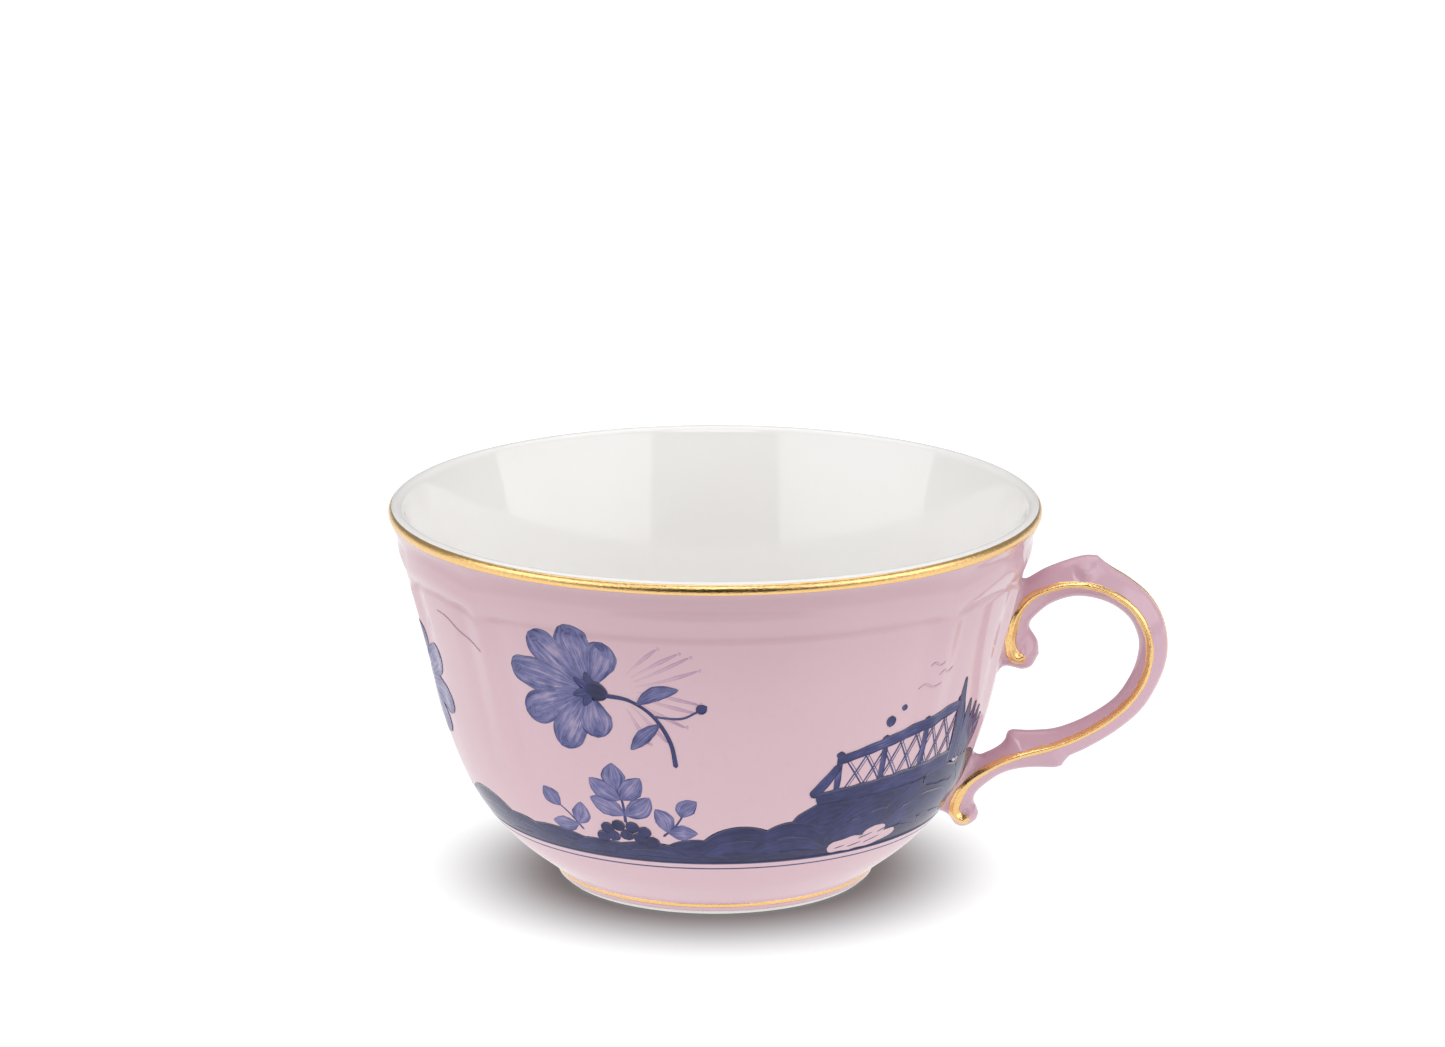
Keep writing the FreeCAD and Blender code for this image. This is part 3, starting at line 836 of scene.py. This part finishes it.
def side_gilding(name, side, replaced):
    """The gold line along one side of the handle, draped over its ridge."""
    path, steps = evenly(smooth_run(RIDGE), STROKE_GAP)
    half = capped(GOLD_HALF_WIDTHS, steps)
    half = half * (1 + 0.06 * np.sin(steps * 1.3 + side) + 0.04 * np.sin(steps * 3.1))
    way = np.gradient(path, axis=0)
    way /= np.hypot(way[:, 0], way[:, 1])[:, None]
    cross = np.stack([-way[:, 1], way[:, 0]], axis=1)
    flat = path[:, None, :] + cross[:, None, :] * (half[:, None] * ACROSS)[..., None]
    flat = flat.reshape(-1, 2)
    outside = np.stack([flat[:, 0], np.full(len(flat), side * SIDE_REACH), flat[:, 1]], axis=1)
    inward = np.tile([0.0, -side, 0.0], (len(flat), 1))
    lift = np.tile(GOLD_LIFT * (1 - ACROSS**4) + GOLD_EDGE, len(path))
    top = first_skin(FIELD, outside, inward, lift, SIDE_REACH)
    bottom = first_skin(FIELD, outside, inward, SUNK, SIDE_REACH)
    faces = slab_faces(len(path), len(ACROSS))
    return weld(add_piece(name, np.vstack([top, bottom]), faces, GOLD, [replaced]), FINE_WELD)


def spine_gilding():
    """The gold line down the outer edge of the handle, from the thumb rest to the spur."""
    path, steps = evenly(smooth_run(BACK)[SPINE_FROM:], STROKE_GAP)
    half = capped(SPINE_HALF_WIDTHS, steps)
    way = np.gradient(path, axis=0)
    way /= np.hypot(way[:, 0], way[:, 1])[:, None]
    out = np.stack([-way[:, 1], 0 * way[:, 0], way[:, 0]], axis=1)
    middle = np.stack([path[:, 0], 0 * path[:, 0], path[:, 1]], axis=1)
    outside = middle + out * SPINE_CLEAR
    spots = np.repeat(outside, len(ACROSS), axis=0)
    spots[:, 1] = (half[:, None] * ACROSS).ravel()
    inward = np.repeat(-out, len(ACROSS), axis=0)
    lift = np.tile(GOLD_LIFT * (1 - ACROSS**4) + GOLD_EDGE, len(path))
    top = first_skin(FIELD, spots, inward, lift, SPINE_REACH)
    bottom = first_skin(FIELD, spots, inward, SUNK, SPINE_REACH)
    faces = slab_faces(len(path), len(ACROSS))
    points, replaced = np.vstack([top, bottom]), ["handle_gilding_back"]
    return weld(add_piece("spine_gold", points, faces, GOLD, replaced), FINE_WELD)


# ---------------------------------------------------------------- painting
PAINT_LIFT = 0.010
LAYER = 0.0015
PAINT_UNDER = -0.04


class Painting:
    """One painted motif, gathered stroke by stroke into a single thin mesh."""

    def __init__(self, name, look, seed):
        self.name, self.look = name, look
        self.chance = np.random.default_rng(seed)
        self.points, self.faces, self.brush, self.ink = [], [], [], []
        self.count, self.layer = 0, 0

    def at(self, angle, run, size=1.0, turn=0.0, flip=1.0):
        """Set where on the wall the following strokes' own millimetres are laid."""
        self.spot = (angle, run, size, math.radians(turn), flip)
        return self

    def lay(self, flat, brush, ink, rows, columns):
        """Lay a grid of (across, up) millimetres on the wall as a closed slab."""
        angle, run, size, turn, flip = self.spot
        u, v = flat[:, 0] * flip * size, flat[:, 1] * size
        u, v = u * math.cos(turn) - v * math.sin(turn), u * math.sin(turn) + v * math.cos(turn)
        z = np.interp(run + v, RUN, LINE[:, 1])
        wide = radius_at(np.interp(run, RUN, LINE[:, 1]))
        where = angle + np.degrees(u / wide)
        crown = PAINT_LIFT * (1 - np.abs(brush[:, 1]) ** 4) + 0.003
        lift = crown + LAYER * self.layer
        self.points += [on_wall(where, z, lift), on_wall(where, z, PAINT_UNDER)]
        self.faces.append(slab_faces(rows, columns) + self.count)
        self.brush += [brush, brush]
        self.ink += [ink, ink]
        self.count += 2 * rows * columns
        self.layer += 1

    def stroke(self, path, widths, ink, columns=7):
        """One brush stroke: a path, half widths along it and how much ink it carries."""
        path = np.array(path, float)
        middle, steps = evenly(smooth_run(path) if len(path) > 2 else path, STROKE_GAP)
        half = capped(widths, steps)
        half = half * (1 + 0.05 * np.sin(steps * self.chance.uniform(0.8, 2) + self.chance.uniform(0, 6)))
        way = np.gradient(middle, axis=0)
        way /= np.maximum(np.hypot(way[:, 0], way[:, 1]), 1e-9)[:, None]
        cross = np.stack([-way[:, 1], way[:, 0]], axis=1)
        share = np.linspace(-1, 1, columns)
        flat = middle[:, None, :] + cross[:, None, :] * (half[:, None] * share)[..., None]
        seed = np.full((len(middle), columns), self.chance.uniform(0, 5))
        brush = np.stack([steps[:, None] + 0 * seed, share[None, :] + 0 * seed, seed], axis=-1)
        ink = np.interp(steps / steps[-1], np.linspace(0, 1, len(ink)), ink) if np.ndim(ink) else ink
        load = np.broadcast_to(np.reshape(ink, (-1, 1)), seed.shape)
        self.lay(flat.reshape(-1, 2), brush.reshape(-1, 3), load.ravel(), len(middle), columns)

    def finish(self, replaced=()):
        faces = np.vstack(self.faces)
        points = np.vstack(self.points)
        piece = add_piece(self.name, points, faces, self.look, replaced)
        brush = piece.data.attributes.new("brush", "FLOAT_VECTOR", "POINT")
        brush.data.foreach_set("vector", np.vstack(self.brush).astype(np.float32).ravel())
        ink = piece.data.attributes.new("ink", "FLOAT", "POINT")
        ink.data.foreach_set("value", np.concatenate(self.ink).astype(np.float32))
        return piece


PETAL_START = 0.6


def turned_point(along, across, turn):
    """A point given along and across a direction, as (across, up) millimetres on the wall."""
    return (
        along * math.cos(turn) - across * math.sin(turn),
        along * math.sin(turn) + across * math.cos(turn),
    )


def petal(paint, turn, length, wide, ink=0.48):
    """A rounded petal or leaf that widens towards its tip, with a few fine veins."""
    turn = math.radians(turn)
    sway = paint.chance.uniform(-0.05, 0.05)

    def out(distance, aside):
        bend = sway * distance**2 / length
        return turned_point(distance, aside + bend, turn)

    spare = length - PETAL_START
    marks = (PETAL_START, PETAL_START + 0.4 * spare, PETAL_START + 0.75 * spare, length)
    widths = [0.12 * wide, 0.62 * wide, wide, 0.96 * wide, 0.75 * wide]
    paint.stroke([out(mark, 0) for mark in marks], widths, [ink + 0.2, ink, ink - 0.04, ink + 0.16], 11)
    for share in (-0.45, 0.05, 0.5):
        root = out(PETAL_START + 0.3, share * 0.1 * wide)
        vein = [root, out(0.55 * length, share * wide * 0.7), out(0.86 * length, share * wide)]
        paint.stroke(vein, [0.05, 0.07, 0.03], ink + 0.22, 3)
    tip = [out(0.86 * length, -0.25 * wide), out(0.93 * length, 0.3 * wide)]
    paint.stroke(tip, [0.28 * wide, 0.2 * wide], ink + 0.16, 5)


def leaf(paint, base, tip, wide, ink=0.42):
    """A pointed leaf with a midrib."""
    base, tip = np.array(base, float), np.array(tip, float)
    way = tip - base
    aside = np.array([-way[1], way[0]]) * paint.chance.uniform(-0.12, 0.12)
    path = [base, base + way * 0.5 + aside, tip]
    paint.stroke(path, [0.1, 0.75 * wide, wide, 0.7 * wide, 0.14], [ink + 0.12, ink, ink + 0.06], 9)
    rib = [base, base + way * 0.45 + aside, base + way * 0.85 + aside * 0.5]
    paint.stroke(rib, [0.10, 0.07, 0.03], ink + 0.3, 3)


def blossom(paint, petals=7, opening=205, ink=0.48):
    """A flower seen from the side, opening to the left, on a curved stem with two leaves."""
    for share in np.linspace(-0.5, 0.5, petals):
        length = 9.8 - 3.6 * (2 * share) ** 2 + paint.chance.uniform(-0.5, 0.5)
        petal(paint, 180 + share * opening, length, 2.05, ink)
    for share in (-0.5, -0.2, 0.2, 0.5):
        turn = math.radians(180 + share * 150)
        paint.stroke([(0.2, 0), (2.3 * math.cos(turn), 2.3 * math.sin(turn))], [0.5, 0.6, 0.15], 0.78, 5)
    paint.stroke([(-0.6, 0.15), (0.9, 0), (2.2, -0.25)], [0.9, 1.25, 0.75], [0.86, 0.98, 0.9], 7)
    stem = [(1.8, -0.2), (4.6, -0.2), (7.4, -1.6), (9.6, -4.4), (10.6, -7.4)]
    paint.stroke(stem, [0.26, 0.2, 0.2, 0.24, 0.3], 0.8, 5)
    leaf(paint, (5.4, -0.5), (9.8, 2.2), 0.95, 0.55)
    leaf(paint, (8.2, -2.4), (5.2, -6.2), 0.9, 0.55)
    paint.stroke([(7.4, -1.6), (10.4, -1.3), (12.2, -0.1)], [0.14, 0.12, 0.12], 0.7, 3)
    paint.stroke([(12.0, -0.2), (13.1, 0.7)], [0.45, 0.62, 0.3], 0.82, 5)


def sprig(paint, height=7.0, pairs=2, ink=0.46):
    """An upright spray of leaves in pairs, with one at the tip."""
    paint.stroke([(0, 0), (0.25, height * 0.35), (0, height * 0.66)], [0.16, 0.13, 0.1], 0.75, 3)
    for row in range(pairs):
        low = height * (0.14 + 0.26 * row)
        reach = 3.0 - 0.5 * row
        for side in (-1, 1):
            leaf(paint, (0.1, low), (side * reach, low + 2.1 + 0.4 * row), 1.25, ink)
    leaf(paint, (0, height * 0.56), (0.1, height), 1.3, ink + 0.03)


def shrub(paint, spots, size=1.0):
    """Round dabs piled up into a bush."""
    for u, v in spots:
        turn = paint.chance.uniform(0, math.pi)
        step = 1.05 * size
        half = np.array([step * math.cos(turn), step * math.sin(turn)])
        ends = [(u, v) - half, (u, v) + half]
        paint.stroke(ends, [0.95 * size, 1.1 * size, 0.95 * size], paint.chance.uniform(0.84, 0.98), 7)


# ---- the painted ground: hummocks as angle, half width in degrees and height along the wall
GROUND_RUN = 15.35
HUMMOCKS = (
    (-79, 11, 21.4), (-63, 12, 23.0), (-51, 9, 20.6), (-40, 11, 20.3), (-27, 10, 19.4), (-15, 10, 19.7),
    (-4, 8, 20.7), (6, 10, 23.2), (17, 9, 23.6), (27, 12, 27.3), (40, 15, 28.2), (54, 15, 28.9),
    (67, 13, 28.4), (80, 11, 25.0), (92, 10, 21.6), (104, 10, 20.0), (117, 11, 22.4), (131, 12, 24.0),
    (145, 11, 21.4), (158, 10, 19.8), (170, 11, 20.6), (183, 12, 22.8), (197, 12, 21.2), (211, 11, 19.9),
    (224, 11, 21.8), (238, 12, 23.4), (251, 11, 20.8), (264, 10, 19.8), (273, 8, 20.2),
)
GROUND_BASE = 17.6


def ground_top(angle):
    """How far up the wall the ground reaches at an angle."""
    top = np.full(angle.shape, GROUND_BASE)
    for middle, half, height in HUMMOCKS:
        away = (angle - middle + 180) % 360 - 180
        arch = np.sqrt(np.clip(1 - (away / half) ** 2, 0, 1))
        top = np.maximum(top, GROUND_BASE + (height - GROUND_BASE) * arch)
    return top


def build_ground():
    paint = Painting("painted_ground", BLUE, 21)
    rows, columns = 721, 15
    angle = np.linspace(-180, 180, rows)
    top = ground_top(angle)
    share = np.linspace(-1, 1, columns)
    run = GROUND_RUN + (top[:, None] - GROUND_RUN) * (share + 1) / 2
    paint.at(0, GROUND_RUN)
    wide = radius_at(np.interp(GROUND_RUN, RUN, LINE[:, 1]))
    flat = np.stack([np.radians(angle)[:, None] * wide + 0 * run, run - GROUND_RUN], axis=-1)
    brush = np.stack([np.radians(angle)[:, None] * 40 + 0 * run, share + 0 * run, 0 * run + 1], axis=-1)
    load = 0.93 + 0.03 * np.sin(np.radians(angle) * 9)[:, None] + 0 * run
    paint.lay(flat.reshape(-1, 2), brush.reshape(-1, 3), load.ravel(), rows, columns)
    for index, (middle, half, height) in enumerate(HUMMOCKS):
        paint.at(middle, GROUND_RUN)
        paint.layer = 1 + 2 * (index % 3)
        tall = height - GROUND_RUN
        reach = math.radians(half) * radius_at(np.interp(height, RUN, LINE[:, 1])) * 0.86
        for level, ink in ((0.80, 0.98), (0.46, 0.94)):
            up = tall * level
            arch = [(-reach, up * 0.45), (-reach * 0.55, up * 0.86), (0, up)]
            arch += [(-u, v) for u, v in arch[1::-1]]
            widths = [0.3, 0.15 * tall, 0.20 * tall, 0.15 * tall, 0.3]
            paint.stroke(arch, widths, [ink, ink - 0.12, ink - 0.04, ink - 0.1, ink], 9)
    return paint.finish()


BANDING_Z = (10.43, 10.70)
GROUND_EDGE_Z = (11.42, 11.66)


def build_lines():
    """The two thin rings under the ground: the banding line and the ground's lower edge."""
    ring_band("blue_ring", *BANDING_Z, 3, 0.02, BLUE_LINE, "blue_enamel", ["blue_line"], (0.02, 31))
    ring_band("ground_edge", *GROUND_EDGE_Z, 3, 0.03, BLUE_LINE, "blue_enamel", [], (0.02, 41))


def build_blossoms():
    paint = Painting("painted_blossoms", BLUE, 5)
    blossom_at = (
        (-24.0, 45.0, 1.32, -8, 1, 7), (-80.5, 38.0, 1.15, 10, -1, 6), (-132, 43.0, 1.15, -8, 1, 7),
        (176, 42.6, 1.15, 10, -1, 7), (131, 43.4, 1.1, -8, -1, 6),
    )
    for angle, run, size, turn, flip, petals in blossom_at:
        blossom(paint.at(angle, run, size, turn, flip), petals)
    return paint.finish()


def build_sprigs():
    paint = Painting("painted_sprigs", BLUE, 8)
    sprig_at = (
        (-30.5, 20.6, 1.25, 38, 1, 1), (-19.6, 23.0, 1.5, 6, 1, 2), (-11.5, 21.0, 1.2, -36, 1, 1),
        (-108, 21.6, 1.1, 8, 1, 2), (-160, 21.2, 1.2, -8, 1, 2), (152, 21.0, 1.1, 12, 1, 2),
        (108, 20.4, 1.0, -10, 1, 1),
    )
    for angle, run, size, turn, flip, pairs in sprig_at:
        sprig(paint.at(angle, run, size, turn, flip), 7.0, pairs)
    shrub_at = ((-19.8, 20.6, 1.0), (-160, 20.2, 0.9), (152, 20.2, 0.9))
    spots = [
        (-3.9, -0.6), (3.7, -0.8), (-2.2, -0.2), (1.9, -0.2), (0, 0.2), (-2.9, 1.2), (2.7, 1.0),
        (-1.1, 1.9), (1.0, 1.8),
    ]
    for angle, run, size in shrub_at:
        shrub(paint.at(angle, run), spots, size)
    return paint.finish()


def build_trellis():
    """A plain garden trellis on the rise, with finials on its posts and reeds behind it."""
    paint = Painting("painted_trellis", BLUE, 13)
    paint.layer = 12
    paint.at(41, 27.4)

    def foot(u):
        return 0.5 + 0.07 * (u + 11)

    def head(u):
        return 6.0 + 0.20 * (u + 10.5)

    for step in np.arange(-12.5, 11.6, 2.9):
        for lean in (-1, 1):
            start = step if lean > 0 else step + 3.4
            low, high = (start, foot(start)), (start + lean * 3.6, head(start + lean * 3.6))
            if min(low[0], high[0]) < -10.8 or max(low[0], high[0]) > 11.9:
                continue
            paint.stroke([low, high], [0.11, 0.14, 0.10], 0.74, 3)
            beside = [(low[0] + 0.5, low[1]), (high[0] + 0.5, high[1])]
            paint.stroke(beside, [0.06, 0.07, 0.05], 0.6, 3)
    for post in (-10.6, -3.4, 4.0, 11.4):
        shaft = [(post, foot(post) - 0.8), (post, head(post) + 0.7)]
        paint.stroke(shaft, [0.42, 0.5, 0.4], [0.88, 0.7, 0.85], 5)
        finial = [(post, head(post) + 0.3), (post + 0.05, head(post) + 1.5)]
        paint.stroke(finial, [0.6, 0.75, 0.55], 0.88, 5)
    paint.stroke([(-14.4, 0.2), (-12.4, 2.6), (-10.6, 5.2)], [0.9, 0.8, 0.6], [0.9, 0.72, 0.85], 7)
    top_rail = [(-11.0, head(-11)), (0, head(0) + 0.25), (11.8, head(11.8))]
    paint.stroke(top_rail, [0.7, 0.85, 0.95, 0.8], [0.86, 0.7, 0.82, 0.7], 7)
    low_rail = [(-13.6, -0.3), (0, foot(0) - 0.7), (12.4, foot(12.4) - 0.6)]
    paint.stroke(low_rail, [1.2, 1.5, 1.6], [0.9, 0.82, 0.88], 7)
    paint.stroke([(6.5, -0.9), (11.5, -1.0), (15.8, -1.9)], [1.2, 1.7, 1.5], [0.86, 0.92, 0.86], 7)
    reeds = (
        (13.0, 12.0, -0.9), (14.2, 10.4, 0.5), (15.3, 9.4, 1.5), (16.4, 8.2, 2.4), (17.6, 6.4, 3.0),
        (12.0, 14.6, -0.2),
    )
    for u, tall, lean in reeds:
        reed = [(u, 0.6), (u + lean * 0.3, tall * 0.5), (u + lean, tall)]
        paint.stroke(reed, [0.5, 0.95, 1.0, 0.2], [0.84, 0.78, 0.92], 7)
    paint.at(36.4, 38.4).stroke([(0, -0.9), (0.3, 0.9)], [0.7, 0.85, 0.7], [0.7, 0.86], 7)
    paint.at(39.4, 40.2).stroke([(0, -0.5), (0.3, 0.5)], [0.4, 0.5, 0.4], [0.7, 0.8], 5)
    return paint.finish()


def build_stone():
    """Bare patches left in the ground, like a pale boulder, with a few lines across."""
    bare = Painting("painted_stone", PINK, 17)
    bare.layer = 14
    bare.at(33.5, 15.9)
    bare.stroke([(-3.8, 1.1), (0, 1.5), (4.4, 1.5), (8.0, 2.1)], [1.1, 1.5, 1.3, 0.7], 0.0, 7)
    bare.stroke([(1.6, 2.6), (3.6, 3.1), (5.6, 3.3)], [0.9, 1.25, 0.9], 0.0, 7)
    piece = bare.finish()
    lines = Painting("stone_marks", BLUE, 18)
    lines.layer = 24
    lines.at(33.5, 15.9)
    marks = (
        [(-2.6, 0.9), (-0.9, 1.3)], [(-0.4, 0.8), (1.9, 1.4)], [(2.4, 1.0), (5.0, 1.9)],
        [(1.0, 2.2), (3.4, 3.0)], [(4.2, 2.7), (6.0, 3.6)],
    )
    for mark in marks:
        lines.stroke(mark, [0.10, 0.13, 0.05], 0.8, 3)
    lines.finish()
    return piece


def build_spray():
    """Fine mauve filaments beside the blossoms, and a drifting tendril."""
    paint = Painting("painted_spray", MAUVE, 3)
    filaments = (
        (52, 7.4), (38, 8.8), (25, 9.6), (11, 9.8), (-3, 9.6), (-17, 9.6), (-31, 9.0), (-46, 8.6),
        (-62, 7.6),
    )
    for angle, run, size, flip in ((-19.0, 45.6, 1.3, 1), (-124, 43.4, 1.0, 1), (167, 43.0, 1.0, -1)):
        paint.at(angle, run, size, 0, flip)
        for turn, length in filaments:
            sway = paint.chance.uniform(-6, 6)
            bends = ((2.6, 0), (length * 0.6, sway * 0.5), (length, sway))
            path = [turned_point(distance, 0, math.radians(turn + bend)) for distance, bend in bends]
            paint.stroke(path, [0.06, 0.14, 0.24, 0.12], [0.2, 0.5, 0.8], 5)
            end = path[-1]
            paint.stroke([end, (end[0] + 0.4, end[1] + 0.1)], [0.2, 0.2], 0.55, 5)
    tendril = [(-8, 2.9), (-5, 2.4), (-2, 0.6), (2.6, -1.1)]
    paint.at(-52, 49.0).stroke(tendril, [0.05, 0.09, 0.11, 0.05], 0.75, 3)
    for angle, run, wide in ((45.5, 42.6, 2.2), (49.5, 44.4, 1.7), (46.5, 46.0, 1.3)):
        path = [(-wide, 0), (-wide * 0.4, 0.5), (wide * 0.3, -0.1), (wide, 0.4)]
        paint.at(angle, run).stroke(path, [0.06, 0.16, 0.06], [0.2, 0.45, 0.2], 5)
    return paint.finish()


# ---------------------------------------------------------------- stage, light and camera
# The floor glows though it is no lamp: the camera sees a glow dimmed into a painted shadow round the cup, and
# other rays see a flat glow that throws painted bounce light on to the cup.
FLOOR_GLOW = 0.94
FLOOR_BOUNCE = 0.80  # what the pale table throws back on to the cup
SHADE_FROM, SHADE_TO = 0.0200, 0.048  # metres from the cup's axis over which its shadow fades
FLOOR_HALF, FLOOR_FRONT = 4.0, -0.15  # metres


def build_floor():
    look = Look("floor")
    grain = look.noise(2.0, 2)
    grey = look.mix(look.spread(grain, 0, 1), rgb(0.20, 0.20, 0.20), rgb(0.22, 0.22, 0.22))
    look.feed(Base_Color=grey)
    look.feed(Roughness=look.spread(grain, 0.7, 0.8), Specular_IOR_Level=0.1)
    # Painted shadow: the glow fades out towards the cup's axis; painted bounce light: rays other than the
    # camera's see FLOOR_BOUNCE.
    away = look.node("ShaderNodeVectorMath", {0: look.place}, operation="LENGTH").outputs["Value"]
    values = {"Value": away, "From Min": SHADE_FROM, "From Max": SHADE_TO}
    values |= {"To Min": 0.0, "To Max": FLOOR_GLOW}
    glow = look.node("ShaderNodeMapRange", values, interpolation_type="SMOOTHSTEP").outputs["Result"]
    seen = look.node("ShaderNodeLightPath", {}).outputs["Is Camera Ray"]
    strength = {"Value": seen, "From Min": 0, "From Max": 1, "To Min": FLOOR_BOUNCE, "To Max": glow}
    strength = look.node("ShaderNodeMapRange", strength).outputs["Result"]
    look.feed(Emission_Color=rgb(1, 1, 1), Emission_Strength=strength)
    mesh = bpy.data.meshes.new("floor")
    front = [(-FLOOR_HALF, FLOOR_FRONT, 0), (FLOOR_HALF, FLOOR_FRONT, 0)]
    corners = front + [(FLOOR_HALF, FLOOR_HALF, 0), (-FLOOR_HALF, FLOOR_HALF, 0)]
    mesh.from_pydata(corners, [], [(0, 1, 2, 3)])
    mesh.materials.append(look.material)
    floor = bpy.data.objects.new("floor", mesh)
    bpy.context.scene.collection.objects.link(floor)


def softbox(name, azimuth, elevation, distance, width, height, watts):
    """A square-edged area light, aimed at the cup; azimuth is round from the camera's side."""
    data = bpy.data.lights.new(name, "AREA")
    data.shape = "RECTANGLE"
    data.size, data.size_y = width, height
    data.energy = watts
    light = bpy.data.objects.new(name, data)
    turn, rise = math.radians(azimuth), math.radians(elevation)
    aim = Vector((0, 0, 0.035))
    way = Vector((math.sin(turn) * math.cos(rise), -math.cos(turn) * math.cos(rise), math.sin(rise)))
    light.location = aim + way * distance
    light.rotation_euler = (-way).to_track_quat("-Z", "Y").to_euler()
    light.visible_camera = False
    bpy.context.scene.collection.objects.link(light)


# Name, azimuth and elevation in degrees, distance, width and height in metres, and watts.
SOFTBOXES = (
    ("left_box", -60, 20, 1.1, 1.36, 0.60, 4.1),
    ("right_box", 60, 20, 1.1, 1.36, 0.60, 4.5),
    ("top_box", 180, 78, 1.3, 1.7, 1.3, 8.8),
    ("front_box", 0, 42, 1.2, 0.6, 0.35, 2.6),
)
ROOM_LIGHT = 0.30
DARK_SIDE = (0.0, -1.0, 0.0)  # the unlit room in front of the table


def build_light():
    for box in SOFTBOXES:
        softbox(*box)
    world = bpy.data.worlds.new("studio")
    world.use_nodes = True
    tree = world.node_tree
    tree.nodes.clear()
    output = tree.nodes.new("ShaderNodeOutputWorld")
    seen, lit = [tree.nodes.new("ShaderNodeBackground") for _ in range(2)]
    path, choose = tree.nodes.new("ShaderNodeLightPath"), tree.nodes.new("ShaderNodeMixShader")
    seen.inputs["Color"].default_value = rgb(1, 1, 1)
    lit.inputs["Color"].default_value = rgb(1, 1, 1)
    way = tree.nodes.new("ShaderNodeTexCoord").outputs["Generated"]
    facing = tree.nodes.new("ShaderNodeVectorMath")
    facing.operation = "DOT_PRODUCT"
    facing.inputs[1].default_value = DARK_SIDE
    tree.links.new(way, facing.inputs[0])
    fade = tree.nodes.new("ShaderNodeMapRange")
    fade.interpolation_type = "SMOOTHSTEP"
    for name, value in (("From Min", 0.66), ("From Max", 0.84), ("To Min", ROOM_LIGHT), ("To Max", 0.03)):
        fade.inputs[name].default_value = value
    tree.links.new(facing.outputs["Value"], fade.inputs["Value"])
    tree.links.new(fade.outputs["Result"], lit.inputs["Strength"])
    tree.links.new(path.outputs["Is Camera Ray"], choose.inputs[0])
    tree.links.new(lit.outputs[0], choose.inputs[1])
    tree.links.new(seen.outputs[0], choose.inputs[2])
    tree.links.new(choose.outputs[0], output.inputs["Surface"])
    bpy.context.scene.world = world


CAMERA_AT = (0.00108, -0.8, 0.2595)
CAMERA_PITCH = 0.252
LENS = 138.4


def build_camera():
    data = bpy.data.cameras.new("camera")
    data.lens = LENS
    data.sensor_width = 36.0
    data.clip_start = 0.01
    camera = bpy.data.objects.new("camera", data)
    camera.location = CAMERA_AT
    camera.rotation_euler = (math.pi / 2 - CAMERA_PITCH, 0, 0)
    bpy.context.scene.collection.objects.link(camera)
    bpy.context.scene.camera = camera


build_coat()
build_lining()
build_foot_and_body()
build_rim_gilding()
ring_band("foot_gold", *FOOT_GOLD_Z, 5, GOLD_LIFT, GOLD, "gilding", ["foot_gilding"], (0.04, 11))
build_handle()
side_gilding("near_gold", -1, "handle_gilding_near")
side_gilding("far_gold", 1, "handle_gilding_far")
spine_gilding()
build_ground()
build_lines()
build_blossoms()
build_sprigs()
build_trellis()
build_stone()
build_spray()
build_floor()
build_light()
build_camera()
bpy.context.scene.view_settings.view_transform = "Standard"
